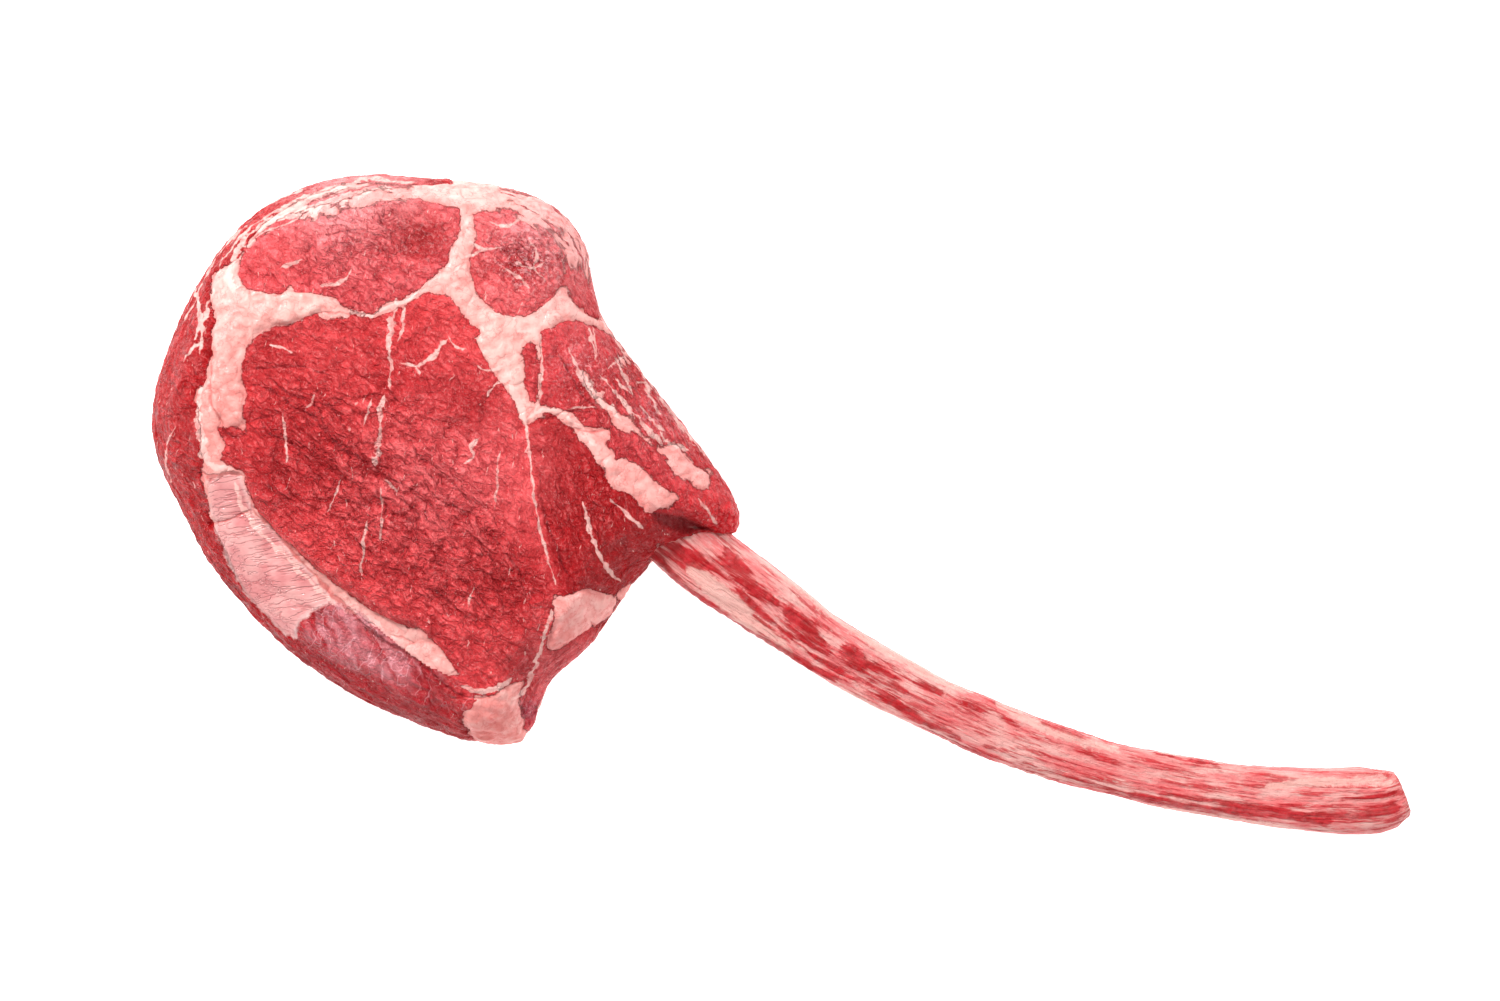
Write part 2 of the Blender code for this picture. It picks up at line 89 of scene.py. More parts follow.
# Fine lines of fat: x, y and half width at each knot
VEINS: dict[str, tuple[Row, ...]] = {
    "centre": ((-147.6, 78.2, 1), (-148.7, 70.6, 1.6), (-149.8, 61.1, 1.2), (-149.1, 53.6, 0.7),
        (-149.8, 44.9, 0.5)),
    "centre_stub": ((-144.2, 75.1, 0.8), (-144.9, 68.7, 1.1), (-146.4, 63, 0.6)),
    "centre_lower": ((-152.1, 41.5, 0.9), (-153.2, 36.5, 1.2), (-153.2, 29, 0.8),
        (-153.6, 22.9, 1.7), (-154.8, 16.1, 1)),
    "hook": ((-128.3, 62.6, 1.1), (-131.7, 59.2, 1.3), (-135.1, 55.5, 1), (-139.2, 52.8, 0.8),
        (-144.9, 54.3, 0.7)),
    "hook_stub": ((-127.1, 63.8, 0.6), (-124.9, 61.1, 0.7), (-121.5, 59.6, 0.5)),
    "hook_tail": ((-139.2, 52.8, 0.6), (-138.5, 50.2, 0.5)),
    "thin_left": ((-189.9, 34.7, 0.5), (-188.8, 25.2, 0.6), (-188.4, 16.9, 0.4)),
    "thin_low": ((-158.2, -5.8, 0.5), (-159.3, -14.5, 0.7), (-160.4, -24.7, 0.4)),
    "thin_middle": ((-152.5, 7, 0.4), (-152.5, -3.2, 0.6), (-152.9, -12.6, 0.4)),
    "thin_right": ((-108.2, 20.7, 0.4), (-109, 12, 0.7), (-109.4, 1.7, 0.4)),
    "squiggle": ((-116.2, 25.2, 0.5), (-119.2, 22.5, 1), (-118.1, 19.5, 0.6), (-121.1, 16.5, 0.5)),
    "squiggle_low": ((-117.7, -30.8, 0.4), (-119.2, -34.6, 0.8), (-120, -37.6, 0.4)),
    "fleck_a": ((-194.9, 61.1, 0.4), (-190.7, 60, 0.6), (-186.5, 58.5, 0.4)),
    "fleck_b": ((-156.3, 40.3, 0.5), (-157.8, 35.8, 0.6), (-159.3, 30.9, 0.4)),
    "fleck_c": ((-168.4, 10.1, 0.4), (-170.6, 2.5, 0.5), (-172.9, -2, 0.3)),
    "fleck_d": ((-151, 10.1, 0.5), (-149.1, 7.8, 0.7), (-147.2, 5.5, 0.4)),
    "fleck_e": ((-177.8, 42.2, 0.3), (-179, 39.6, 0.6), (-181.2, 37.3, 0.3)),
    "branch_a": ((-104.1, 54.7, 1.2), (-108.6, 52.4, 1), (-113.9, 51.7, 0.6), (-116.2, 53.2, 0.4)),
    "branch_b": ((-105.2, 48.6, 1.3), (-109, 46.8, 0.9), (-111.6, 44.1, 0.6), (-112.8, 41.8, 0.4)),
    "upper_a": ((-190.4, 90.3, 0.6), (-187.4, 91.8, 0.9), (-183.6, 94.1, 0.5)),
    "upper_b": ((-175.3, 83.5, 0.8), (-170.8, 83.9, 0.8), (-166.2, 86.5, 1), (-164.3, 89.6, 0.6)),
    "corner_a": ((-119.3, 99.8, 0.9), (-114.7, 97.5, 0.7), (-107.9, 98.7, 0.5)),
    "corner_b": ((-120.8, 94.9, 0.7), (-113.2, 97.1, 0.5)),
    "corner_c": ((-101.9, 92.6, 0.5), (-96.6, 90.3, 0.6), (-92.4, 92.6, 0.4)),
    "thin_seam": ((-163.9, 74, 1.6), (-159.4, 72.9, 1), (-156.4, 71.8, 1.3), (-153, 74.4, 0.8),
        (-148.8, 76.3, 1), (-143.9, 77.5, 0.7), (-139, 81.6, 1.2)),
    "wedge_seam": ((-104.9, 51.7, 2.2), (-102.2, 43.4, 1.6), (-100, 37.3, 1.3), (-98.1, 31.6, 1),
        (-96.9, 25.2, 0.7), (-96.6, 16.9, 0.6), (-94.3, 1, 0.6), (-90.1, -19.5, 0.5),
        (-86.7, -29.3, 0.4)),
    "loop": ((-100.7, 66.5, 1), (-96.9, 66.5, 1.2), (-94.3, 65.3, 0.9), (-92.4, 59.3, 0.9),
        (-92, 51, 0.8), (-92.8, 39.6, 0.7), (-95, 34.7, 1)),
    "rib_seam": ((-97, 33.4, 0.8), (-92.5, 36.7, 1), (-86.8, 36.2, 1), (-80.7, 33, 1),
        (-75.2, 27, 1), (-70.6, 22, 1)),
    "rib_stripe_edge": ((-47.4, 28.3, 0.4), (-44.4, 24.5, 1.2), (-37.6, 21.8, 1)),
    "rib_thin_a": ((-64.5, 55.7, 0.4), (-60.4, 48.8, 0.9), (-58.5, 42.7, 0.4)),
    "rib_thin_b": ((-53.9, 48.1, 0.4), (-51.3, 41.3, 0.9), (-47.5, 35.6, 0.5)),
    "rib_thin_c": ((-74.7, 67.8, 0.5), (-73.2, 62.4, 0.8), (-72.1, 56.4, 0.4)),
    "rib_thin_d": ((-67.2, 52.6, 0.4), (-64.2, 55.3, 0.6), (-61.5, 57.9, 0.3)),
    "rib_thin_e": ((-55, 38.5, 0.3), (-49.3, 31.3, 0.8), (-46.3, 29.1, 0.4)),
    "wedge_stripe": ((-77, 1.4, 0.5), (-75.5, -3.6, 1), (-73.2, -11.5, 1.1), (-70.1, -18.7, 0.9),
        (-67.5, -23.7, 1), (-63.3, -28.6, 0.5)),
    "left_strand": ((-221, 45, 1), (-222.5, 38.6, 1.8), (-222.1, 31, 1.6), (-221, 23.4, 2.2),
        (-219.1, 16.9, 2.2), (-215.3, 13.9, 1.8), (-210.7, 14.3, 1.6)),
    "lip": ((-208.5, 9, 0.8), (-206.4, 1, 1.3), (-202, -6.2, 1.6), (-195.4, -13.4, 1.5),
        (-188.2, -20.6, 1.6), (-182.4, -26.6, 1.4), (-176, -32.4, 1.6), (-168.6, -37.8, 1.5),
        (-161.1, -41.6, 1.6), (-155.1, -44.8, 1.8)),
    "rim_a": ((-209.3, 81.8, 2.2), (-211.6, 87.9, 2), (-210.1, 94.8, 1.5), (-206.2, 101.7, 1.4),
        (-200.1, 107, 1.2), (-192.5, 110.4, 1.4), (-184.9, 112.3, 2.4), (-177.3, 114.2, 3.2),
        (-169.6, 117.3, 2.4), (-161.2, 120, 1.6), (-151.3, 121.9, 1.4)),
    "rim_b": ((-215.8, 92.1, 0.5), (-211.5, 99, 0.7), (-204.7, 105.8, 0.8), (-195.1, 112.7, 0.7),
        (-185.5, 116.6, 0.9), (-174, 120, 0.9), (-162.6, 122.3, 0.8)),
    "rim_c": ((-222.3, 93.8, 0.5), (-215.8, 103, 0.7), (-206.6, 111.8, 0.6), (-196.6, 118, 0.8),
        (-185.9, 122.2, 0.6)),
    "left_film_a": ((-239.6, 59.3, 0.5), (-237.3, 67.7, 0.7), (-232.7, 76.9, 0.6),
        (-228.1, 84.6, 0.4)),
    "left_film_b": ((-235.3, 9.4, 0.4), (-236.8, 17, 0.7), (-234.5, 25.5, 0.6),
        (-231.5, 30.1, 0.3)),
    "left_tuft_a": ((-224.2, 63.4, 0.3), (-222.7, 67.2, 0.8), (-220.1, 71.8, 1.4),
        (-219.3, 77.1, 1.2), (-217.4, 81.7, 1.6)),
    "left_tuft_b": ((-228.4, 55.1, 0.3), (-225.3, 59.7, 0.8), (-221.5, 62.8, 0.8)),
    "band_outer": ((-205.9, 107.1, 0.4), (-210.5, 105.2, 0.8), (-215.5, 99.4, 1),
        (-219.4, 93.3, 0.9), (-222.8, 85.6, 0.7), (-225.1, 79.1, 0.5), (-230.5, 70.3, 0.3)),
    "band_inner": ((-195.7, 111.5, 0.4), (-186.5, 117.2, 0.7), (-175.8, 121.1, 0.8),
        (-167.4, 123, 0.9), (-159.8, 125.7, 1.1), (-151.7, 124.9, 0.8), (-142.2, 124.1, 0.4)),
    "band_thin": ((-184.9, 110, 0.2), (-192.5, 106.6, 0.4), (-199, 104.3, 0.3), (-204, 100.5, 0.4),
        (-208.5, 97.8, 0.2)),
    "edge_film": ((-70.6, 72.8, 0.3), (-62.9, 61.3, 0.7), (-47.7, 42.2, 0.9), (-36.2, 26.2, 0.8),
        (-28.6, 17.8, 0.3)),
    "tuft_a": ((-56.6, 47.7, 0.2), (-52.8, 46.6, 0.6), (-51.3, 41.3, 0.5), (-49, 37.5, 0.2)),
    "tuft_b": ((-64.2, 48.9, 0.2), (-61.9, 45.8, 0.6), (-59.6, 42.8, 0.3)),
    "tuft_c": ((-73.3, 68.6, 0.3), (-72.2, 63.3, 0.7), (-71.8, 57.2, 0.3)),
    "rib_white": ((-82.3, 36.6, 0.2), (-77, 37.4, 0.4), (-71.7, 37.4, 0.2)),
    "limb_thread": ((-88.5, -40, 1.1), (-91.9, -50.7, 1), (-95.7, -61.3, 1.2), (-99.1, -69.6, 1.3),
        (-103.6, -73.4, 0.8)),
    "tip_thread": ((-122.6, -68.1, 0.3), (-116.6, -69.6, 0.9), (-110.5, -69.3, 0.9),
        (-105.2, -65.8, 0.6)),
    "corner_d": ((-112, 108, 0.3), (-106, 106, 0.9), (-101, 109, 0.5)),
    "corner_e": ((-97, 101, 0.3), (-94, 96, 1), (-95, 90, 0.6), (-91, 86, 0.3)),
    "corner_f": ((-106, 90, 0.3), (-101, 87, 0.8), (-97, 83, 0.4)),
    "stripe_tail": ((-82, 60, 0.3), (-79, 53, 1), (-75, 47, 1.8), (-70, 41, 2.2), (-64, 35, 2)),
    "stripe_side": ((-70, 50, 0.3), (-65, 44, 0.9), (-59, 37, 1.2), (-53, 30, 1.4), (-47, 24, 1)),
    "wedge_thread": ((-66, 3, 0.3), (-60, -3, 0.8), (-54, -8, 0.5)),
    "collar_edge": ((-18.2, 5, 0.4), (-16.9, -2, 1.3), (-16.8, -9, 1.2), (-19.9, -12.5, 0.5)),
    "collar_shred": ((-36, -9.5, 0.3), (-31, -10.2, 0.8), (-26, -11.2, 0.5)),
    "collar_low": ((-27, -12.5, 0.4), (-22, -13, 0.9), (-17.3, -11.7, 0.6)),
    "collar_top": ((-33, 3, 0.3), (-29, -2, 0.8), (-26, -6, 0.4)),
    "left_tuft_c": ((-228, 86, 0.4), (-225, 80, 1.2), (-222.5, 73, 1.4), (-221, 65, 1),
        (-222, 58, 0.5)),
    "foot_line": ((-121.6, -68.4, 0.8), (-117, -70.3, 1), (-112.4, -70.3, 1.5),
        (-107.5, -67.7, 1.6), (-104.4, -65.4, 0.8)),
}

# Creases and splits of the flesh, carved in and darkened with painted shade: x, y and half width at
# each knot
CRACKS: dict[str, tuple[Row, ...]] = {
    "eye_top": ((-201, 52.6, 0.5), (-191.8, 52.9, 0.7), (-182.8, 52.6, 0.6), (-176.1, 50.9, 0.6),
        (-171.6, 49.5, 0.4)),
    "eye_fold_a": ((-202, 45.8, 0.9), (-197.3, 45.8, 1.1), (-191.8, 41.9, 1.2),
        (-185.3, 37.7, 1.2), (-179.2, 34.6, 1.1), (-171.6, 26.4, 1.1), (-166.8, 21.4, 1.2),
        (-160.4, 18.3, 0.9), (-155.6, 14.7, 0.7), (-151.1, 11.6, 0.6), (-148, 7.1, 0.4)),
    "eye_fold_b": ((-195.9, 49.5, 0.4), (-189.2, 43.3, 0.9), (-183.6, 41.3, 0.8),
        (-176.6, 37.1, 0.8), (-174.1, 30.6, 0.9), (-169.3, 25.8, 0.7), (-164.3, 20.8, 0.5)),
    "eye_fold_c": ((-185.3, 42.2, 0.5), (-178, 39.7, 0.8), (-171.6, 37.1, 0.8),
        (-167.1, 32.3, 0.5)),
    "eye_fold_d": ((-197.9, 32.1, 0.5), (-194, 27, 0.8), (-188.4, 25, 0.8), (-183.6, 21.4, 0.5)),
    "eye_fold_e": ((-202.9, 32.1, 0.8), (-197.9, 34, 0.9), (-192.8, 34.6, 0.4)),
    "eye_nick": ((-150.9, 44.4, 0.5), (-146.1, 39.9, 0.8)),
    "eye_ridge_a": ((-161.2, 34.6, 0.4), (-150.5, 35.7, 0.7), (-146.1, 32.1, 0.6),
        (-139.3, 31.5, 0.4)),
    "eye_ridge_b": ((-141.9, 25, 0.4), (-137.9, 18.3, 0.7), (-134.3, 16.3, 0.7),
        (-129.2, 12.1, 0.7), (-124.5, 7.7, 0.7), (-116.9, -1, 0.5)),
    "eye_ridge_c": ((-137.9, 12.1, 0.4), (-131.8, 3.5, 0.8), (-126.7, 1, 0.8),
        (-121.1, -2.1, 0.5)),
    "eye_ridge_d": ((-151.7, 11.6, 0.5), (-141.9, 7.1, 0.8), (-134.3, 1, 0.8),
        (-130.6, -5.2, 0.5)),
    "eye_ridge_e": ((-153.1, 3.5, 0.5), (-150.5, -2.1, 0.8), (-156.7, -6, 0.7),
        (-158.7, -9.1, 0.4)),
    "eye_ridge_f": ((-148, 4.6, 0.5), (-141.9, 0.4, 0.8), (-137.9, -3.5, 0.7), (-140.4, -6, 0.4)),
    "eye_pit_a": ((-169.3, 12.1, 0.4), (-165.4, 10.2, 0.7), (-160.4, 12.1, 0.4)),
    "eye_low_a": ((-143, -16, 0.4), (-136, -20, 0.6), (-128, -23, 0.6), (-121, -29, 0.4)),
    "eye_low_b": ((-139, -30, 0.4), (-131, -33, 0.6), (-123, -40, 0.5), (-116, -44, 0.3)),
    "eye_low_c": ((-112, -10, 0.4), (-106, -17, 0.6), (-101, -25, 0.5), (-98, -34, 0.3)),
    "eye_low_d": ((-122, -8, 0.4), (-115, -14, 0.6), (-110, -22, 0.5)),
    "upper_split": ((-173.9, 103, 0.7), (-167.3, 104.4, 0.9), (-160.3, 105.2, 0.7),
        (-154, 103, 0.4)),
    "corner_slit": ((-110, 100, 0.4), (-105, 96, 0.8), (-100, 97, 0.7), (-96, 93, 0.4)),
    "rib_slit": ((-86, 58, 0.4), (-81, 50, 0.8), (-77, 43, 0.7), (-73, 38, 0.4)),
    "upper_split_c": ((-179.9, 98.8, 0.6), (-180.4, 96.9, 0.8), (-181.8, 96.3, 0.4)),
    "seam_slit": ((-177.5, 72.9, 0.4), (-170.8, 73.6, 0.7), (-165.6, 73.3, 0.4)),
    "column_slit_a": ((-213.5, 32, 0.8), (-211, 27.5, 1.1), (-207, 25.5, 1.2),
        (-204.6, 27.5, 0.9)),
    "column_slit_b": ((-223, 12.5, 1.2), (-218.8, 11.4, 2), (-214.5, 12.1, 2), (-210.5, 12.4, 1.8),
        (-207, 11.5, 1)),
    "column_slit_c": ((-217.5, 57, 0.5), (-217.8, 47, 0.7), (-217, 38.5, 0.9), (-213.2, 32, 0.8)),
    "band_crease": ((-217.7, -6.4, 0.5), (-212, -5.4, 0.7), (-206, -3, 0.8), (-202, -1.2, 0.5)),
    "side_crevice": ((-204.5, 8, 0.7), (-201.8, -2, 1.0), (-196.3, -7.3, 1.1),
        (-189.9, -14.6, 1.1), (-181.3, -23.5, 1.2), (-173.2, -32.4, 1.3), (-166.1, -39.3, 1.4),
        (-159.6, -45.9, 1.4), (-152.6, -51.2, 1.3), (-144.4, -55.5, 1.2), (-137.3, -60.7, 1.1),
        (-128.8, -68.4, 1.0), (-120.8, -72.4, 0.9), (-112, -72.8, 0.6)),
    "wedge_slit": ((-149.6, -49, 0.4), (-145.5, -49.6, 0.7), (-141.6, -52.2, 0.5)),
    "rib_split_a": ((-90, 33, 0.4), (-82, 36, 0.6), (-73, 35.6, 0.4)),
    "rib_split_b": ((-82, 30, 0.4), (-75, 28.4, 0.7), (-66, 30, 0.5)),
    "wedge_fold": ((-93, 4, 0.5), (-90, -6, 0.8), (-85, -20, 0.9), (-80, -29, 0.6)),
    "lump_pit": ((-73.4, -44.6, 0.5), (-72, -46.5, 0.8), (-70.4, -46.2, 0.4)),
    "hock_fold": ((-98, -71, 0.5), (-99.5, -76, 0.9), (-98.5, -81, 0.8)),
}

# Where flesh and fat show on the cut face, laid over one another in this order: name, what it is,
# and its closed outline in plan
LAYOUT: tuple[tuple[str, Flesh, tuple[Row, ...]], ...] = (
    ("rib_body", Flesh.LEAN, ((-93, 66), (-87, 67), (-78, 67), (-70, 65), (-62, 56), (-51, 42),
        (-41, 29), (-32, 20), (-26, 9), (-22, 1), (-32, -5), (-43, -5), (-49, -3), (-55, 2),
        (-66, 7), (-69, 14), (-70, 20), (-78, 27), (-82, 32), (-88, 35), (-93, 37), (-92, 52))),
    ("wedge_body", Flesh.LEAN, ((-96, 31), (-88, 34), (-82, 31), (-78, 26), (-71, 19), (-69, 13),
        (-66, 7), (-57, 4), (-51, -3), (-44, -2), (-36, -1), (-36, -5), (-44, -11), (-49, -16),
        (-55, -22), (-62, -29), (-70, -32), (-85, -34), (-87, -29), (-90, -19), (-94, 1),
        (-97, 17))),
    ("top_strip", Flesh.LEAN, ((-197, 113), (-191, 118), (-186, 121), (-176, 125), (-174, 126),
        (-164, 128), (-159, 128), (-161, 125), (-170, 123), (-175, 122), (-182, 120), (-190, 117),
        (-195, 113))),
    ("top_pink", Flesh.LEAN, ((-182, 115), (-173, 119), (-164, 121), (-159, 123), (-148, 123),
        (-142, 122), (-148, 121), (-157, 120), (-167, 118), (-176, 116))),
    ("top_inner", Flesh.LEAN, ((-183, 112), (-192, 110), (-199, 106), (-203, 102), (-201, 102),
        (-198, 104), (-191, 107), (-184, 110))),
    ("left_strip", Flesh.LEAN, ((-216, 84), (-216, 89), (-215, 95), (-209, 101), (-205, 105),
        (-202, 105), (-208, 98), (-211, 94), (-213, 90), (-214, 86))),
    ("right_patch", Flesh.LEAN, ((-83, 93), (-77, 91), (-73, 84), (-70, 72), (-73, 73), (-78, 76),
        (-82, 81), (-85, 85))),
    ("right_crumb", Flesh.LEAN, ((-109, 122), (-101, 121), (-90, 117), (-83, 111), (-78, 103),
        (-74, 96), (-71, 96), (-74, 103), (-80, 112), (-89, 120), (-101, 124), (-108, 124))),
    ("right_edge", Flesh.LEAN, ((-72, 93), (-70, 83), (-69, 73), (-64, 64), (-55, 53), (-44, 38),
        (-32, 23), (-26, 14), (-22, 6), (-17, 3), (-21, 14), (-29, 25), (-40, 41), (-51, 56),
        (-61, 67), (-67, 79), (-70, 90))),
    ("collar", Flesh.LEAN, ((-48, -2), (-36, 3), (-28, 10), (-21, 6), (-15, -1), (-14, -11),
        (-16, -16), (-32, -16), (-43, -16), (-51, -13))),
    ("membrane", Flesh.LEAN, ((-69, -51), (-65, -55), (-69, -62), (-79, -67), (-88, -71),
        (-93, -77), (-99, -75), (-98, -70), (-92, -65), (-89, -59), (-86, -55), (-78, -52),
        (-73, -50))),
    ("hock_lobe", Flesh.LEAN, ((-101, -73), (-97, -75), (-94, -80), (-93, -85), (-97, -89),
        (-100, -85))),
    ("left_limb", Flesh.FAT, ((-219, 86), (-217, 90), (-214, 91), (-211, 93), (-208, 96),
        (-206, 97), (-208, 93), (-208, 88), (-205, 83), (-202, 81), (-195, 81), (-187, 81),
        (-180, 81), (-172, 79), (-167, 76), (-162, 73), (-165, 73), (-174, 72), (-182, 71),
        (-187, 70), (-194, 68), (-198, 67), (-201, 63), (-203, 60), (-204, 62), (-206, 67),
        (-213, 71), (-217, 77))),
    ("limb_lump", Flesh.FAT, ((-198, 87), (-196, 89), (-193, 87), (-190, 88), (-187, 84),
        (-186, 82), (-191, 82), (-197, 82))),
    ("left_column", Flesh.FAT, ((-219, 82), (-216, 71), (-218, 67), (-217, 61), (-219, 55),
        (-219, 46), (-218, 39), (-215, 33), (-212, 28), (-207, 26), (-204, 30), (-205, 36),
        (-204, 42), (-205, 50), (-205, 58), (-202, 62), (-205, 71))),
    ("left_beads", Flesh.FAT, ((-223, 45), (-221, 46), (-219, 40), (-221, 33), (-220, 27),
        (-217, 23), (-213, 23), (-208, 21), (-207, 17), (-210, 14), (-215, 13), (-220, 15),
        (-223, 19), (-224, 24), (-222, 28), (-224, 36))),
    ("bead_gap", Flesh.LEAN, ((-215, 30), (-208, 29.5), (-203, 27), (-202, 14), (-206, 13),
        (-210, 15), (-213.5, 19), (-212, 24))),
    ("rim_gap", Flesh.LEAN, ((-234, 42), (-224.5, 41), (-222.5, 34), (-221, 28), (-222, 22),
        (-221, 17), (-222, 12), (-220, 4), (-220, -2), (-232, -2))),
    ("joint", Flesh.FAT, ((-139, 83), (-134, 87), (-128, 91), (-126, 96), (-123, 104), (-123, 113),
        (-119, 113), (-118, 107), (-117, 101), (-119, 94), (-120, 88), (-117, 81), (-113, 75),
        (-107, 72), (-100, 69), (-95, 68), (-92, 65), (-93, 62), (-97, 62), (-100, 65), (-100, 61),
        (-100, 55), (-98, 48), (-97, 42), (-95, 37), (-97, 31), (-100, 33), (-101, 40), (-104, 49),
        (-108, 54), (-114, 59), (-116, 65), (-120, 71), (-125, 77), (-127, 81), (-133, 81))),
    ("rim_patch", Flesh.FAT, ((-186, 114), (-178, 115), (-167, 117), (-159, 120), (-154, 121),
        (-140, 122), (-133, 120), (-124, 117), (-124, 114), (-131, 117), (-140, 119), (-146, 120),
        (-157, 117), (-167, 115), (-171, 112), (-176, 112), (-178, 109), (-184, 109),
        (-181, 112))),
    ("right_rim", Flesh.FAT, ((-131, 123), (-125, 122), (-116, 120), (-108, 118), (-101, 116),
        (-93, 112), (-87, 107), (-82, 103), (-78, 98), (-75, 93), (-77, 91), (-81, 93), (-85, 98),
        (-90, 103), (-97, 108), (-106, 113), (-113, 114), (-120, 114), (-125, 117))),
    ("rib_head", Flesh.FAT, ((-101, 70), (-95, 72), (-88, 77), (-85, 81), (-82, 79), (-78, 75),
        (-71, 71), (-71, 69), (-76, 70), (-82, 71), (-89, 70), (-92, 69), (-98, 68))),
    ("rib_seam", Flesh.FAT, ((-98, 35), (-92, 38.4), (-86, 37.8), (-80.2, 35.2), (-74, 30),
        (-69.6, 26), (-64.5, 19.5), (-66, 13.2), (-71, 16), (-74.5, 21.6), (-78.6, 26.8),
        (-82.8, 31.6), (-87, 34), (-92, 34.6), (-96, 31))),
    ("rib_stripe", Flesh.FAT, ((-76, 51), (-73, 45), (-69, 40), (-63, 36), (-58, 32), (-53, 27),
        (-48, 23), (-41, 24), (-39, 21), (-35, 16), (-29, 14), (-29, 7), (-33, 7), (-38, 11),
        (-43, 13), (-47, 19), (-52, 25), (-58, 28), (-64, 30), (-67, 36), (-73, 42))),
    ("rib_bead", Flesh.FAT, ((-71, 29), (-68, 29), (-66, 27), (-65, 24), (-68, 25), (-70, 26))),
    ("pale_wedge", Flesh.FAT, ((-67, 17), (-63, 18), (-60, 18), (-55, 16), (-49, 10), (-41, 4),
        (-43, 0), (-47, -1), (-50, -2), (-53, -1), (-56, 2), (-60, 5), (-65, 7), (-68, 11))),
    ("rib_tuft", Flesh.FAT, ((-66, 56), (-63, 57), (-61, 58), (-60, 55), (-63, 55))),
    ("bottom_lump", Flesh.FAT, ((-121, -78), (-119, -75), (-113, -72), (-108, -71), (-103, -71),
        (-101, -75), (-100, -81), (-100, -85), (-106, -88), (-113, -91), (-119, -88),
        (-121, -83))),
    ("eye_wedge", Flesh.FAT, ((-156, -43), (-150, -44), (-143, -46), (-138, -47), (-134, -51),
        (-131, -55), (-128, -60), (-124, -65), (-118, -69), (-125, -67), (-132, -63), (-139, -59),
        (-144, -54), (-150, -50), (-155, -46))),
    ("membrane_low", Flesh.LEAN, ((-90.4, -37.7), (-92.6, -46.9), (-96.1, -58.2), (-100.2, -68.9),
        (-100.6, -73.4), (-95.3, -75.7), (-88.5, -73.4), (-81.6, -68.1), (-74, -61.3),
        (-67.2, -54.5), (-63.4, -46.1), (-63.4, -35.5), (-70.2, -31.7), (-77.8, -31.7))),
    ("right_lump", Flesh.FAT, ((-87.4, -34.1), (-82, -33.2), (-76.6, -31.8), (-70, -32.6),
        (-64.2, -35), (-65.4, -40), (-72.2, -46.4), (-80.9, -51.2), (-88.8, -55.6), (-90.2, -51.7),
        (-86.7, -43.5), (-88.6, -38))),
    ("cap_tip", Flesh.LEAN, ((-133.4, -74), (-125, -71.7), (-122.3, -76.3), (-122.7, -82.4),
        (-120.8, -87.8), (-118.8, -92.4), (-125.7, -92.4), (-133.4, -87.4))),
    ("tip_flesh", Flesh.LEAN, ((-126.4, -66.6), (-119.6, -62.8), (-108.2, -61.3), (-102.9, -62.8),
        (-104.4, -66.6), (-108.2, -69.6), (-112.8, -71.2), (-119.6, -70.8))),
    ("limb_notch", Flesh.LEAN, ((-183.6, 69.1), (-179.1, 70.6), (-172.3, 71), (-163.9, 71.8),
        (-162.1, 69.9), (-163.9, 66.1), (-179.1, 65.3))),
    ("loop_strip", Flesh.LEAN, ((-98, 62), (-95, 62), (-94, 59), (-93, 51), (-94, 42), (-95, 39),
        (-97, 41), (-98, 48), (-99, 55), (-100, 59))),
    ("eye_top", Flesh.LEAN, ((-164, 73), (-156, 71), (-149, 75), (-143, 76), (-138, 80),
        (-133, 81), (-128, 80), (-124, 76), (-120, 70), (-116, 65), (-131, 61), (-153, 61),
        (-168, 67))),
    ("upper_low", Flesh.LEAN, ((-168, 77), (-162, 74), (-156, 73), (-150, 77), (-144, 79),
        (-139, 83), (-134, 87), (-129, 91), (-134, 93), (-146, 86), (-161, 82))),
    ("eye_left", Flesh.LEAN, ((-203, 59), (-200, 62), (-197, 66), (-187, 69), (-176, 71),
        (-187, 40), (-203, 25), (-204, 37))),
    ("upper_left", Flesh.LEAN, ((-205, 84), (-207, 90), (-207, 94), (-204, 99), (-198, 103),
        (-188, 106), (-180, 108), (-188, 83), (-198, 82), (-203, 82))),
    ("upper_right", Flesh.LEAN, ((-135, 116), (-127, 114), (-124, 112), (-124, 104), (-127, 97),
        (-129, 92), (-135, 93), (-138, 105))),
    ("corner_left", Flesh.LEAN, ((-118, 111), (-117, 106), (-116, 101), (-118, 94), (-119, 89),
        (-116, 81), (-112, 76), (-104, 73), (-97, 74), (-100, 93), (-108, 111), (-113, 112))),
)

# The smooth pale sheath on the lower left side, and the clear film beyond it
SHEATH: tuple[Row, ...] = (
    (-219.6, 10), (-216, 11), (-212, 12.4), (-208, 13), (-205, 6), (-202, -2), (-194, -10),
    (-186, -20), (-178, -28), (-173, -36), (-178, -39), (-185, -44), (-188, -51), (-197, -44),
    (-208, -31), (-214.6, -16), (-218.4, -4),
)
FILM: tuple[Row, ...] = (
    (-189, -51), (-186, -44), (-178, -38), (-174, -36), (-168, -37), (-161, -40), (-154, -46),
    (-147, -52), (-138, -59), (-129, -63), (-120, -69), (-118, -76), (-125, -78), (-136, -75),
    (-148, -69), (-160, -65), (-171, -60), (-181, -56),
)


def to_linear(*channels: float) -> Rgb:
    """Turn a colour as the eye sees it, from 0 to 255, into the one that the render works in."""
    shares = (channel / 255 for channel in channels)
    return tuple(((s + 0.055) / 1.055) ** 2.4 if s > 0.04045 else s / 12.92 for s in shares)


def ease(values: np.ndarray, low: float, high: float) -> np.ndarray:
    """Rise smoothly from 0 at the low value to 1 at the high one."""
    share = np.clip((values - low) / (high - low), 0, 1)
    return share * share * (3 - 2 * share)


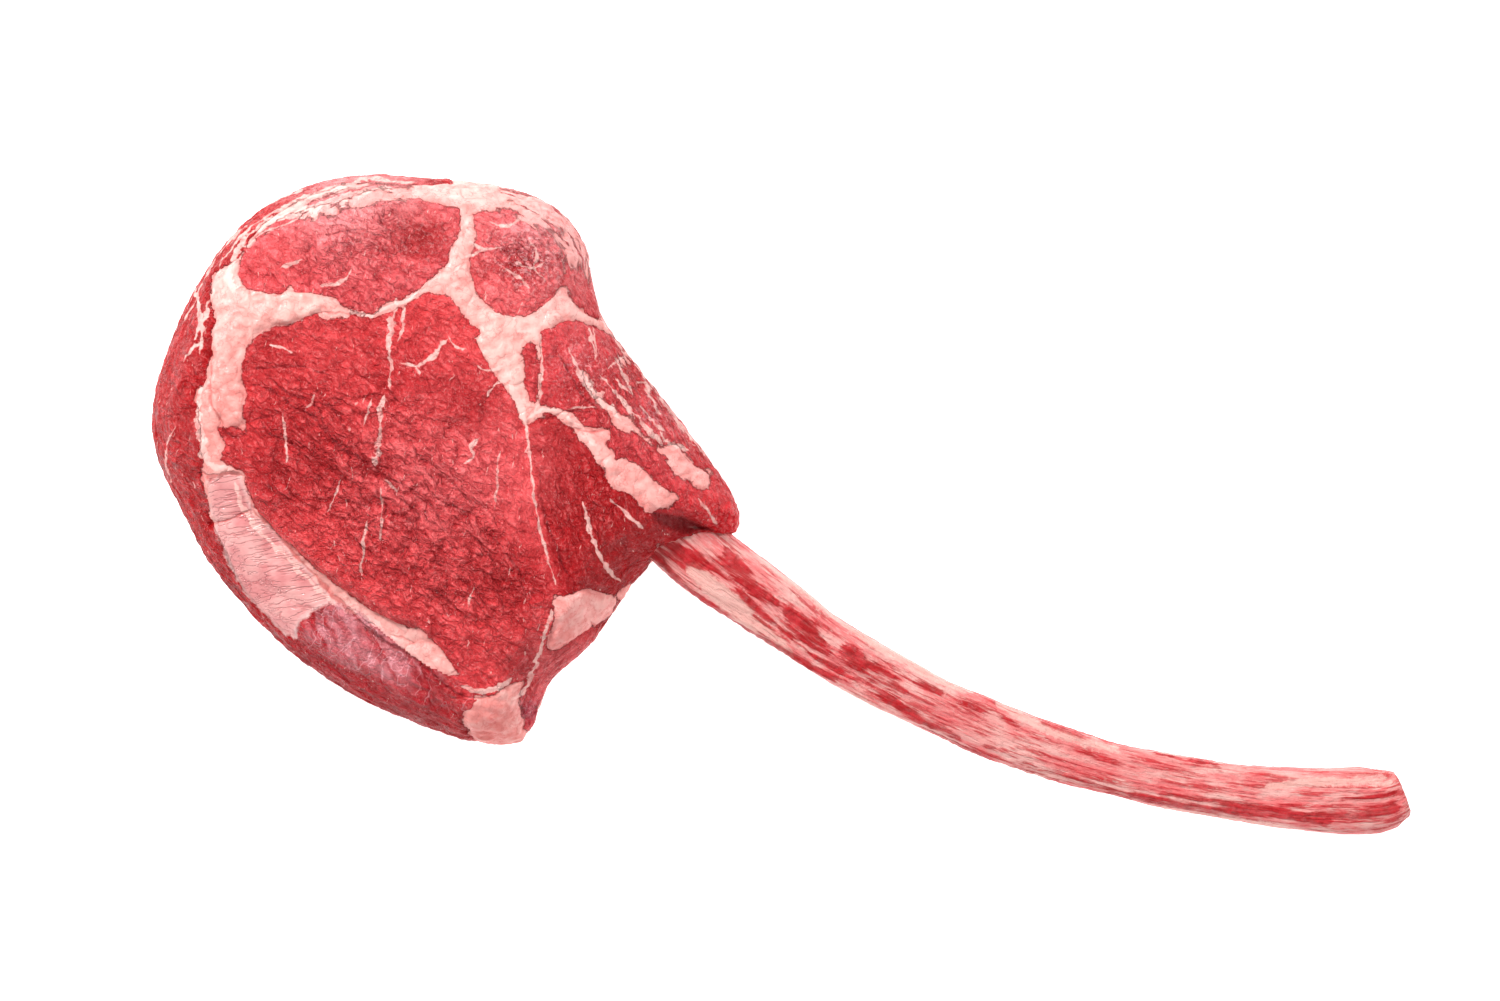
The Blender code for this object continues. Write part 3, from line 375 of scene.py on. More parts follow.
def smooth_line(knots: Sequence[Row], step: float, closed: bool = False) -> np.ndarray:
    """Run a smooth line through knots.

    Args:
        knots: The knots, whose first two columns are the plan point.
        step: The rough distance between the rows of the result.
        closed: Whether the line runs back to its first knot.

    Returns:
        Evenly spaced rows with the knots' columns.
    """
    rows = np.array(knots, float)
    if closed:
        padded = np.concatenate([rows[-1:], rows, rows[:2]])
    else:
        padded = np.concatenate([2 * rows[:1] - rows[1:2], rows, 2 * rows[-1:] - rows[-2:-1]])
    steps = np.linspace(0, 1, 12, endpoint=False)[:, None]
    fine = []
    for a, b, c, d in zip(padded, padded[1:], padded[2:], padded[3:]):
        curve = 2 * b + (c - a) * steps + (2 * a - 5 * b + 4 * c - d) * steps**2
        fine.append((curve + (3 * b - a - 3 * c + d) * steps**3) / 2)
    fine = np.concatenate([*fine, padded[-2:-1]])
    walked = np.concatenate([[0], np.cumsum(np.linalg.norm(np.diff(fine[:, :2], axis=0), axis=1))])
    count = max(3, round(walked[-1] / step) + 1)
    marks = np.linspace(0, walked[-1], count, endpoint=not closed)
    return np.stack([np.interp(marks, walked, column) for column in fine.T], axis=1)


@dataclass(frozen=True)
class Stroke:
    """A line drawn on the meat, such as a vein or a crease."""

    knots: tuple[Row, ...]
    reach: float = 1.9
    step: float = 1.4
    margin: float = 0.5

    def rows(self) -> np.ndarray:
        """Run the smooth line of the stroke."""
        return smooth_line(self.knots, self.step)

    def offsets(self, plan: np.ndarray) -> tuple[np.ndarray, np.ndarray]:
        """Measure how far plan points lie to the side of the stroke.

        Args:
            plan: The points, as rows of x and y.

        Returns:
            The offset to the left of the line, and its half width there, which falls off beyond
            the ends and is FAR where the stroke is out of reach.
        """
        rows = self.rows()
        offset = np.full(len(plan), AWAY)
        width = np.full(len(plan), FAR)
        margin = self.reach + rows[:, 2].max() + self.margin
        low, high = rows[:, :2].min(0) - margin, rows[:, :2].max(0) + margin
        near = np.flatnonzero(np.all((plan > low) & (plan < high), 1))
        if not len(near):
            return offset, width
        points = plan[near][:, None, :]
        start, run = rows[:-1, :2], np.diff(rows[:, :2], axis=0)
        length = np.linalg.norm(run, axis=1)
        sideways = points - start
        along = np.sum(sideways * run, axis=2) / length**2
        held = np.clip(along, 0, 1)
        distance = np.linalg.norm(points - (start + run * held[..., None]), axis=2)
        best = np.argmin(distance, axis=1)
        pick = (np.arange(len(near)), best)
        left = (run[:, 0] * sideways[..., 1] - run[:, 1] * sideways[..., 0]) / length
        beyond = np.abs(along - held)[pick] * length[best]
        at_end = (best == 0) & (along[pick] < 0) | (best == len(run) - 1) & (along[pick] > 1)
        widths = (rows[:-1, 2] + np.diff(rows[:, 2]) * held)[pick]
        offset[near] = np.where(at_end, left[pick], np.sign(left[pick]) * distance[pick])
        half = widths - np.where(at_end, beyond, 0)
        width[near] = np.where(distance[pick] < self.reach + widths, half, FAR)
        return offset, width


def patch_depth(knots: Sequence[Row], plan: np.ndarray) -> np.ndarray:
    """Measure how far plan points lie inside a closed outline drawn on the meat.

    Args:
        knots: The outline.
        plan: The points, as rows of x and y.

    Returns:
        The distance to the outline in millimetres, below 0 outside it and OUTSIDE far off.
    """
    step, margin = 2.0, 12
    edge = smooth_line(knots, step, closed=True)
    found = np.full(len(plan), OUTSIDE)
    low, high = edge.min(0) - margin, edge.max(0) + margin
    near = np.flatnonzero(np.all((plan > low) & (plan < high), 1))
    if not len(near):
        return found
    points = plan[near][:, None, :]
    after = np.roll(edge, -1, axis=0)
    run = after - edge
    held = np.clip(np.sum((points - edge) * run, 2) / np.sum(run * run, 1), 0, 1)
    distance = np.linalg.norm(points - (edge + run * held[..., None]), axis=2).min(1)
    crosses = (edge[:, 1] > points[..., 1]) != (after[:, 1] > points[..., 1])
    level = np.where(run[:, 1] == 0, 1e-9, run[:, 1])
    meets = edge[:, 0] + run[:, 0] * (points[..., 1] - edge[:, 1]) / level
    inside = np.sum(crosses & (points[..., 0] < meets), axis=1) % 2 == 1
    found[near] = np.where(inside, distance, -distance)
    return found


@dataclass(frozen=True)
class Spot:
    """A soft round area of the plan, with a strength, and a colour where it paints."""

    x: float
    y: float
    radius: float
    strength: float
    colour: Row

    def share(self, plan: np.ndarray) -> np.ndarray:
        """Give shares that fall from the spot's strength at its middle to 0 outside it."""
        away = np.sum((plan - (self.x, self.y)) ** 2, axis=1) / self.radius**2
        return self.strength * np.exp(-away)


def spots(*rows: Row) -> tuple[Spot, ...]:
    """Make spots from rows of x, y, radius, strength and, where they paint, a colour."""
    return tuple(Spot(*row[:4], to_linear(*row[4:])) for row in rows)


def total(given: Iterable[Spot], plan: np.ndarray) -> np.ndarray:
    """Add up the shares of spots at plan points."""
    return sum(spot.share(plan) for spot in given)


def painted(tone: np.ndarray, given: Iterable[Spot], plan: np.ndarray) -> np.ndarray:
    """Lay the colours of spots over a tone, one after another.

    Args:
        tone: A colour for each point.
        given: The spots.
        plan: The points, as rows of x and y.

    Returns:
        The new colour of each point.
    """
    for spot in given:
        share = spot.share(plan)[:, None]
        tone = tone * (1 - share) + np.array(spot.colour) * share
    return tone


class Grain:
    """Uneven fields that the reliefs are made from, with sizes in millimetres."""

    @staticmethod
    def soft(points: np.ndarray, size: float, seed: float) -> np.ndarray:
        """Give smooth unevenness of one size, from about -1 to 1."""
        return np.array([noise.noise(Vector(p)) for p in (points / size + seed).tolist()])

    @staticmethod
    def rough(points: np.ndarray, size: float, seed: float, octaves: int = 3) -> np.ndarray:
        """Give unevenness from about -1 to 1 that has finer bumps on its bumps."""
        rows = (points / size + seed).tolist()
        return np.array([noise.fractal(Vector(p), 1.0, 2.0, octaves) for p in rows])

    @staticmethod
    def cells(points: np.ndarray, size: float, seed: float) -> np.ndarray:
        """Give the depth inside cells: 0 at their walls, and up to about 1 at their middles."""
        near = [noise.voronoi(Vector(p))[0] for p in (points / size + seed).tolist()]
        return np.array([row[1] - row[0] for row in near])


def in_layers(strokes: Iterable[Stroke], count: int) -> list[list[Stroke]]:
    """Share strokes among layers so that those of one layer keep clear of each other.

    Args:
        strokes: The strokes.
        count: How many layers there are.

    Returns:
        The strokes of each layer.
    """
    layers: list[list[Stroke]] = [[] for _ in range(count)]
    for stroke in strokes:
        line = stroke.rows()
        rooms = [min([AWAY, *(room(line, other.rows()) for other in layer)]) for layer in layers]
        roomy = [index for index, gap in enumerate(rooms) if gap > CLEARANCE]
        layers[roomy[0] if roomy else int(np.argmax(rooms))].append(stroke)
    return layers


def room(first: np.ndarray, second: np.ndarray) -> float:
    """Give the room between the edges of two smooth lines."""
    gaps = np.linalg.norm(first[:, None, :2] - second[None, :, :2], axis=2)
    return float((gaps - first[:, None, 2] - second[None, :, 2]).min())


@contextmanager
def opened(mesh: bpy.types.Mesh) -> Iterator[bmesh.types.BMesh]:
    """Open a mesh as a form, and write the form back into it at the end.

    Args:
        mesh: The mesh.

    Yields:
        The form to work on.
    """
    form = bmesh.new()
    form.from_mesh(mesh)
    yield form
    form.to_mesh(mesh)
    form.free()


def smooth(form: bmesh.types.BMesh) -> None:
    """Even out the corners of a form."""
    bmesh.ops.smooth_vert(form, verts=form.verts, factor=0.5, use_axis_x=True, use_axis_y=True,
                          use_axis_z=True)


def merged_copy(names: Sequence[str], title: str) -> bpy.types.Object:
    """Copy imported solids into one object, with their loose corners joined.

    Args:
        names: The solids to copy.
        title: The name of the new object.

    Returns:
        The new object, linked to the scene.
    """
    mesh = bpy.data.meshes.new(title)
    with opened(mesh) as form:
        for name in names:
            form.from_mesh(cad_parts[name].data)
        bmesh.ops.remove_doubles(form, verts=form.verts, dist=WELD)
    piece = bpy.data.objects.new(title, mesh)
    bpy.context.scene.collection.objects.link(piece)
    return piece


def remesh(piece: bpy.types.Object, swell: float, spacing: float) -> None:
    """Join a piece's shells into one skin of even squares.

    Args:
        piece: The piece, which keeps its name and its place.
        swell: How far its shells grow first, in millimetres, to close the gaps between them.
        spacing: The size of the squares in millimetres.
    """
    if swell:
        grow = piece.modifiers.new("Swell", "DISPLACE")
        grow.mid_level = 0.0
        grow.strength = swell * MM
    skin = piece.modifiers.new("Skin", "REMESH")
    skin.mode = "VOXEL"
    skin.voxel_size = spacing * MM
    bpy.context.view_layer.update()
    graph = bpy.context.evaluated_depsgraph_get()
    mesh = bpy.data.meshes.new_from_object(piece.evaluated_get(graph))
    piece.modifiers.clear()
    piece.data = mesh


def coat(piece: bpy.types.Object, material: bpy.types.Material) -> None:
    """Give a piece its material, and shade it smooth.

    Args:
        piece: The piece.
        material: The only material that it keeps.
    """
    piece.data.materials.clear()
    piece.data.materials.append(material)
    piece.data.shade_smooth()


def corners(mesh: bpy.types.Mesh) -> np.ndarray:
    """Find where the corners of a mesh are.

    Args:
        mesh: The mesh.

    Returns:
        Rows of x, y and z in millimetres.
    """
    places = np.zeros(len(mesh.vertices) * 3)
    mesh.vertices.foreach_get("co", places)
    return places.reshape(-1, 3) / MM


def directions(mesh: bpy.types.Mesh) -> np.ndarray:
    """Find which way the corners of a mesh face.

    Args:
        mesh: The mesh.

    Returns:
        A direction of length 1 for each corner.
    """
    faced = np.zeros(len(mesh.vertices) * 3)
    mesh.vertex_normals.foreach_get("vector", faced)
    return faced.reshape(-1, 3)


def displace(mesh: bpy.types.Mesh, places: np.ndarray, faced: np.ndarray, height: np.ndarray
             ) -> None:
    """Move a mesh's corners outward, but not through the floor.

    Args:
        mesh: The mesh.
        places: Where its corners are, in millimetres.
        faced: The direction that each corner faces.
        height: How far each corner moves, in millimetres.
    """
    moved = places + faced * height[:, None]
    moved[:, 2] = np.maximum(moved[:, 2], 0.0)
    mesh.vertices.foreach_set("co", (moved * MM).ravel())
    mesh.update()


def store(mesh: bpy.types.Mesh, name: str, *columns: np.ndarray) -> None:
    """Keep three numbers at each corner of a mesh, under a name that the material reads."""
    layer = mesh.attributes.new(name, "FLOAT_VECTOR", "POINT")
    layer.data.foreach_set("vector", np.stack(columns, axis=1).astype(np.float32).ravel())


def store_tone(mesh: bpy.types.Mesh, name: str, tone: np.ndarray) -> None:
    """Keep a colour at each corner of a mesh for its material.

    Args:
        mesh: The mesh.
        name: The name that the material reads.
        tone: A colour for each corner.
    """
    layer = mesh.attributes.new(name, "FLOAT_COLOR", "POINT")
    rows = np.concatenate([tone, np.ones((len(tone), 1))], axis=1)
    layer.data.foreach_set("color", rows.astype(np.float32).ravel())


class Bench:
    """Nodes of one material, wired by short calls. Sizes and places are in millimetres."""

    def __init__(self, title: str) -> None:
        """Start a material.

        Args:
            title: The material's name.
        """
        self.material = bpy.data.materials.new(title)
        self.material.use_nodes = True
        self.nodes = self.material.node_tree.nodes
        self.links = self.material.node_tree.links
        source = self.nodes.new("ShaderNodeTexCoord").outputs["Object"]
        self.at = self.make("VectorMath", {0: source, "Scale": 1 / MM}, operation="SCALE")

    def feed(self, socket: Socket, value: Value) -> None:
        """Link a socket to an input, or set the input's own value.

        Args:
            socket: The input.
            value: What it gets.
        """
        if isinstance(value, bpy.types.NodeSocket):
            self.links.new(value, socket)
        elif isinstance(value, (int, float)):
            socket.default_value = value
        else:
            size = len(socket.default_value)
            socket.default_value = [*value, 1.0][:size]

    def make(self, kind: str, inputs: dict[int | str, Value] | Sequence[Value],
             output: int | str = 0, **settings: str) -> Socket:
        """Add a node, set it up and feed it.

        Args:
            kind: What kind of shader node it is.
            inputs: What its inputs get, in their order or under their names.
            output: Which of its outputs is wanted.
            settings: The node's own settings.

        Returns:
            The output's socket.
        """
        node = self.nodes.new(f"ShaderNode{kind}")
        for name, setting in settings.items():
            setattr(node, name, setting)
        for key, value in inputs.items() if isinstance(inputs, dict) else enumerate(inputs):
            self.feed(node.inputs[key], value)
        return node.outputs[output]

    def finished(self, inputs: dict[str, Value]) -> bpy.types.Material:
        """Feed the material's surface.

        Args:
            inputs: What its inputs get, under their names.

        Returns:
            The material.
        """
        for name, value in inputs.items():
            self.feed(self.nodes["Principled BSDF"].inputs[name], value)
        return self.material

    def tone(self, mark: Mark) -> Socket:
        """Read the colour that the corners carry."""
        return self.make("Attribute", (), "Color", attribute_name=mark.value)

    def carried(self, mark: Mark, layer: str = "") -> tuple[Socket, Socket, Socket]:
        """Read the three numbers that the corners carry."""
        return self.split(self.make("Attribute", (), "Vector", attribute_name=mark.value + layer))

    def split(self, vector: Socket) -> tuple[Socket, Socket, Socket]:
        """Take a vector apart into its three numbers."""
        return tuple(self.make("SeparateXYZ", (vector,)).node.outputs)

    def drawn(self, along: Socket, factor: float, across: Socket, level: Socket) -> Socket:
        """Make places on which a pattern is drawn out along their first axis by a factor."""
        return self.make("CombineXYZ", (self.sum("DIVIDE", along, factor), across, level))

    def sum(self, operation: str, *values: Socket | float) -> Socket:
        """Work out one number from others, by one of Blender's operations."""
        return self.make("Math", values, operation=operation)

    def times(self, first: Socket, *others: Socket | float) -> Socket:
        """Multiply numbers.

        Args:
            first: The first number.
            others: Those that it is multiplied by, in this order.

        Returns:
            The product's socket.
        """
        for other in others:
            first = self.sum("MULTIPLY", first, other)
        return first

    def rest(self, share: Socket) -> Socket:
        """Give what a share leaves of 1."""
        return self.sum("SUBTRACT", 1.0, share)

    def swing(self, value: Socket, reach: float | Socket, base: Socket | float = 0.0) -> Socket:
        """Add to a base what a number has above a half, times a reach."""
        return self.sum("MULTIPLY_ADD", self.sum("SUBTRACT", value, 0.5), reach, base)

    def between(self, share: Socket, first: Socket, second: Socket) -> Socket:
        """Pass from one number to another as a share goes from 0 to 1."""
        return self.sum("MULTIPLY_ADD", self.sum("SUBTRACT", second, first), share, first)

    def pile(self, first: tuple[Socket, float], *others: tuple[Socket, float]) -> Socket:
        """Add up numbers, each times its own factor.

        Args:
            first: The first number and its factor.
            others: The others and theirs.

        Returns:
            The sum's socket.
        """
        height = self.times(*first)
        for part, factor in others:
            height = self.sum("MULTIPLY_ADD", part, factor, height)
        return height

    def rise(self, value: Socket, low: Socket | float, high: Socket | float, start: float = 0.0,
             end: float = 1.0) -> Socket:
        """Ease a number from a start to an end as it passes from a low value to a high one."""
        return self.make("MapRange", (value, low, high, start, end),
                         interpolation_type="SMOOTHSTEP")

    def noise(self, at: Socket, size: float, detail: float = 2.0, roughness: float = 0.5,
              output: str = "Fac") -> Socket:
        """Give unevenness from 0 to 1, with bumps of a size and finer ones on them."""
        return self.make("TexNoise", {"Vector": at, "Scale": 1 / size, "Detail": detail,
                                      "Roughness": roughness}, output)

    def wrinkles(self, at: Socket, size: float, width: float, detail: float = 3.0,
                 roughness: float = 0.55) -> Socket:
        """Give a net of wandering lines, 1 on them and 0 away, with a width as a share of size."""
        even = self.sum("SUBTRACT", self.noise(at, size, detail, roughness), 0.5)
        return self.rise(self.sum("ABSOLUTE", even), 0.0, width * 0.5, 1.0, 0.0)

    def folds(self, at: Socket, size: float, detail: float = 2.0, roughness: float = 0.5,
              breadth: float = 0.13) -> Socket:
        """Give soft swellings with sharp creases between them.

        Args:
            at: Where on the piece.
            size: The rough size of a swelling.
            detail: How many finer sizes there are.
            roughness: How strong those are.
            breadth: How soon a swelling reaches its full height.

        Returns:
            A number that is 0 in the creases and 1 on the swellings.
        """
        even = self.sum("SUBTRACT", self.noise(at, size, detail, roughness), 0.5)
        swollen = self.times(self.sum("ABSOLUTE", even), 1 / breadth)
        return self.sum("POWER", self.sum("MINIMUM", swollen, 1.0), 0.7)

    def shift(self, at: Socket, size: float, reach: float) -> Socket:
        """Stir places about in swirls, so that a pattern on them loses its regularity."""
        swirl = self.noise(at, size, output="Color")
        return self.make("VectorMath", (swirl, (2 * reach,) * 3, at), operation="MULTIPLY_ADD")

    def stretch(self, at: Socket, turn: float, factors: Sequence[float]) -> Socket:
        """Turn places by degrees about the upright, then draw patterns out along each axis."""
        inputs = {"Vector": at, "Rotation": (0, 0, math.radians(turn)), "Scale": factors}
        return self.make("Mapping", inputs, vector_type="TEXTURE")

    def blend(self, share: Socket | float, first: Socket | Rgb, second: Socket | Rgb,
              mode: str = "MIX") -> Socket:
        """Mix a share of a second colour into a first one."""
        inputs = {0: share, 6: first, 7: second}
        return self.make("Mix", inputs, 2, data_type="RGBA", blend_type=mode)

    def coats(self, colour: Socket | Rgb, *coats: tuple[Socket, Socket | Rgb]) -> Socket:
        """Lay colours over one another.

        Args:
            colour: The lowest colour.
            coats: The share and the colour of each one over it.

        Returns:
            The resulting colour's socket.
        """
        for share, tint in coats:
            colour = self.blend(share, colour, tint)
        return colour

    def bump(self, height: Socket) -> Socket:
        """Give the way that the surface faces once a fine relief lies on it."""
        return self.make("Bump", {"Strength": 1.0, "Distance": MM, "Height": height})


class FleshFinish(Bench):
    """Raw beef: moist grained flesh, creamy fat, fine veins, sheath and clear film."""

    vein_layers = 4
    crack_layers = 3
    grain_turn = -38.0
    wedge_turn = -66.0
    # Turn of the short white dashes that are painted highlight
    glint_fleck_turn = 78.0
    vein_colour = to_linear(255, 194, 186)
    # Painted shade for the cracks and creases, deep on the flesh and paler on fat, sheath and veins
    crease_shade_colour = to_linear(104, 8, 16)
    pale_crease_shade = to_linear(190, 58, 56)
    sheath_colour = to_linear(240, 176, 172)
    sheath_blush = to_linear(220, 140, 140)
    sheath_line = to_linear(196, 96, 98)
    sheath_edge = to_linear(255, 226, 220)
    film_colour = to_linear(236, 158, 166)
    # Painted highlight: the small lilac-white glints of the glossy zones
    painted_sparkle_colour = to_linear(238, 176, 186)
    # Painted shade in the cavity by the bone
    cave_shade_colour = to_linear(118, 2, 8)
    # Painted highlight: pale pink specks and ridge tops on the flesh
    painted_highlight_colour = to_linear(252, 168, 166)
    streak_colour = to_linear(232, 96, 100)
    # Pale torn shreds, brightened to stand in for the glints there too: partly painted highlight
    shred_and_glint_colour = to_linear(252, 170, 170)
    fat_pink = to_linear(226, 118, 112)
    fat_cream = to_linear(255, 222, 212)
    fat_thread = to_linear(214, 92, 92)
    fat_blush = to_linear(232, 124, 120)
    # Painted shade in the hollows of the fat
    fat_hollow_shade = to_linear(198, 70, 70)
    fat_glint = to_linear(255, 232, 224)
    # Lighter and darker copies of the lean tone: for tone that varies at random, and for painted
    # highlight and painted shade
    lighter_tone_and_highlight_factors = (1.3, 2.1, 2.0)
    darker_tone_and_shade_factors = (0.46, 0.13, 0.17)

    def __init__(self) -> None:
        """Start the material, and read what the corners carry."""
        super().__init__("raw_beef")
        self.lean_depth, self.sheath_depth, self.film_depth = self.carried(Mark.DEPTHS)
        # hollow drives painted shade, and painted highlight where it is below 0
        self.hollow, self.crumb, self.gloss = self.carried(Mark.RELIEF)
        self.around, self.inward, _ = self.carried(Mark.RIM)
        # The first number marks where glints are painted as highlight, the second where the cavity
        # gets painted shade
        self.lilac, self.cave, self.milk = self.carried(Mark.COVER)
        self.crumple, self.slant, self.mixed = self.carried(Mark.GRAIN)
        self.level = self.split(self.at)[2]

    def wire(self) -> bpy.types.Material:
        """Wire the finish.

        Returns:
            The material.
        """
        at = self.at
        fat = self.fat_share()
        veins = self.lines(Mark.VEINS, self.vein_layers, 0.26, 0.62)
        cracks = self.lines(Mark.CRACKS, self.crack_layers, 0.5, 0.45)
        lean_colour, lean_height = self.lean()
        fat_colour, fat_height = self.fat()
        sheath_colour, sheath_height = self.sheath()
        fade = self.rise(self.noise(at, 4.2), 0.34, 0.56, 0.55, 0.97)
        edge = self.swing(self.noise(at, 4.0, 4, 0.6), 6.0, self.sheath_depth)
        sheath = self.times(self.rise(edge, -0.9, 0.9), self.rest(veins))
        film = self.times(self.film(), self.rest(sheath))
        # Painted highlight: glints painted as colour inside the sparkle zones
        painted_sparkle = self.times(self.lilac, self.rise(self.noise(at, 1.3, 4, 0.7), 0.46, 0.64))
        pale = self.sum("MAXIMUM", self.sum("MAXIMUM", fat, sheath), veins)
        colour = self.coats(
            lean_colour,
            (fat, fat_colour),
            (self.times(veins, fade), self.vein_colour),
            (sheath, sheath_colour),
            (film, self.film_colour),
            (self.times(painted_sparkle, 0.6), self.painted_sparkle_colour),
            # Painted shade: the cracks and creases are darkened in colour
            (self.times(cracks, 0.6), self.blend(pale, self.crease_shade_colour, self.pale_crease_shade)),
            # Painted shade darkening the cavity by the bone
            (self.times(self.cave, 0.85), self.cave_shade_colour),
        )

        height = self.between(fat, lean_height, fat_height)
        height = self.between(self.rise(self.sheath_depth, -0.6, 1.6), height, sheath_height)
        slope = self.bump(self.sum("MULTIPLY_ADD", cracks, -0.3, height))
        rough = self.rise(self.noise(at, 3.0, 3, 0.6), 0.35, 0.65, 0.5, 0.24)
        wet = self.rise(self.noise(at, 7.0), 0.4, 0.58, 0.3, 1.0)
        return self.finished({
            "Base Color": colour,
            "Normal": slope,
            "Coat Normal": slope,
            "Roughness": self.sum("MULTIPLY_ADD", self.gloss, -0.16, rough),
            "Specular IOR Level": self.rise(self.inward, 1.0, 15.0, 0.08, 0.3),
            "Specular Tint": (1.0, 0.6, 0.6),
            "Coat Weight": self.times(self.rise(self.inward, 2.0, 16.0, 0.02, 0.3), wet),
            "Coat Roughness": 0.1,
        })

    def fat_share(self) -> Socket:
        """Find where the fat shows, with an irregular edge to the flesh.

        Returns:
            The share of fat.
        """
        edge = self.swing(self.noise(self.at, 2.2, 5, 0.66), 3.6, self.lean_depth)
        edge = self.swing(self.noise(self.at, 8.0, 1), 3.4, edge)
        run = self.shift(self.drawn(self.around, 4.5, self.inward, self.level), 6.0, 2.0)
        crumbs = self.swing(self.noise(run, 2.6, 4, 0.62), self.mixed)
        edge = self.sum("MULTIPLY_ADD", crumbs, 12.0, edge)
        blur = self.sum("MULTIPLY_ADD", self.mixed, 0.4, 0.24)
        return self.rise(edge, self.times(blur, -1.0), blur, 1.0, 0.0)

    def lines(self, mark: Mark, count: int, blur: float, breadth: float) -> Socket:
        """Draw the strokes of all layers.

        Args:
            mark: Which strokes they are.
            count: How many layers they lie in.
            blur: How soft their edges are, in millimetres.
            breadth: How much of its width a stroke gets.

        Returns:
            The share of the surface that they cover.
        """
        ragged = self.rise(self.noise(self.at, 3.6, 2, 0.55), 0.32, 0.68, breadth * 0.3,
                           breadth * 1.8)
        wander = self.swing(self.noise(self.at, 5.0), 2.6)
        covered = 0.0
        for index in range(count):
            offset, width, _ = self.carried(mark, f"_{index}")
            aside = self.sum("ABSOLUTE", self.sum("ADD", offset, wander))
            inside = self.sum("SUBTRACT", self.times(width, ragged), aside)
            covered = self.sum("MAXIMUM", self.rise(inside, -blur, blur), covered)
        return covered

    def lean(self) -> tuple[Socket, Socket]:
        """Make the flesh: grain and folds on the tone that its corners carry, with painted shade in
        its folds and hollows and painted highlights on its ridges and in small specks and dashes.

        Returns:
            The colour and the height of its fine relief.
        """
        tone = self.tone(Mark.LEAN_TONE)
        stirred = self.shift(self.at, 7.0, 2.4)
        main_run = self.stretch(stirred, self.grain_turn, (2.2, 1.0, 1.4))
        side_run = self.stretch(stirred, self.wedge_turn, (2.8, 1.0, 1.4))
        big, mid, small = (
            self.between(self.slant, self.folds(main_run, main_size, 3, roughness),
                         self.folds(side_run, side_size, 3, roughness))
            for main_size, side_size, roughness in ((7.6, 5.0, 0.5), (2.8, 2.2, 0.5),
                                                    (1.3, 1.1, 0.6)))
        fibre = self.noise(stirred, 0.9, 4, 0.7)
        grit = self.noise(self.at, 0.5, 2, 0.6)
        cloud = self.noise(self.at, 5.5, 5, 0.62)
        broad = self.noise(self.at, 19.0, 3, 0.55)
        torn = self.noise(self.at, 1.6, 5, 0.72)
        # Short white dashes, painted as glints
        glint_fleck = self.noise(self.stretch(stirred, self.glint_fleck_turn, (4.5, 1.0, 2.0)), 1.1)
        strand = self.noise(self.drawn(self.around, 16.0, self.inward, self.level), 1.2, 4, 0.62)
        rim = self.rise(self.inward, 4.0, 16.0, 1.0, 0.0)
        strength = self.rise(self.crumple, 0.0, 1.0, 0.42, 1.08)

        # light is the lighter copy, for random tone and painted highlight; the darker one is for
        # random tone and painted shade
        light = self.blend(1.0, tone, self.lighter_tone_and_highlight_factors, "MULTIPLY")
        painted_highlight = self.blend(0.3, light, self.painted_highlight_colour)
        darker_tone_and_shade = self.blend(1.0, tone, self.darker_tone_and_shade_factors, "MULTIPLY")
        fold_shades = ((big, 0.56), (mid, 0.38), (small, 0.34))
        colour = self.coats(
            tone,
            (self.rise(broad, 0.4, 0.68, 0.0, 0.35), light),
            (self.rise(cloud, 0.44, 0.62, 0.05, 0.5), light),
            (self.rise(cloud, 0.5, 0.30, 0.0, 0.25), darker_tone_and_shade),
            # Painted highlight on the tops of the folds, and painted shade in the folds
            (self.times(self.rise(big, 0.55, 1.0), self.rise(mid, 0.3, 1.0), 0.75), light),
            *((self.times(self.rest(fold), strength, share), darker_tone_and_shade) for fold, share in fold_shades),
            # Painted highlights: pale specks on the fibres and grit, and on the tops of fine folds
            (self.rise(fibre, 0.54, 0.72, 0.0, 0.5), painted_highlight),
            (self.times(self.rise(mid, 0.62, 0.95), self.rise(fibre, 0.44, 0.6), 0.5), painted_highlight),
            (self.rise(grit, 0.6, 0.8, 0.0, 0.4), painted_highlight),
            # Painted shade in the hollows, and painted highlight on the ridges
            (self.rise(self.hollow, 0.1, 0.9, 0.0, 0.6), darker_tone_and_shade),
            (self.rise(self.hollow, -0.1, -0.8, 0.0, 0.4), light),
            (self.times(rim, self.rise(strand, 0.54, 0.70), 0.35), self.streak_colour),
            (self.times(rim, self.rise(strand, 0.48, 0.3), 0.7), darker_tone_and_shade),
            # Painted highlight: short white glints in the colour of the veins
            (self.times(self.rise(glint_fleck, 0.69, 0.74), 0.6), self.vein_colour),
            # Pale torn shreds on crumbly flesh, partly painted highlight
            (self.times(self.rise(torn, 0.52, 0.6), self.crumb, 0.85), self.shred_and_glint_colour),
        )
        height = self.pile(
            (self.times(big, strength), 1.8), (self.times(mid, strength), 0.85),
            (self.times(small, strength), 0.34), (fibre, 0.5), (grit, 0.12),
            (self.noise(self.at, 5.5, 3), 3.0), (self.times(torn, self.crumb), 0.6),
            (self.times(strand, rim), 0.6))
        return colour, height

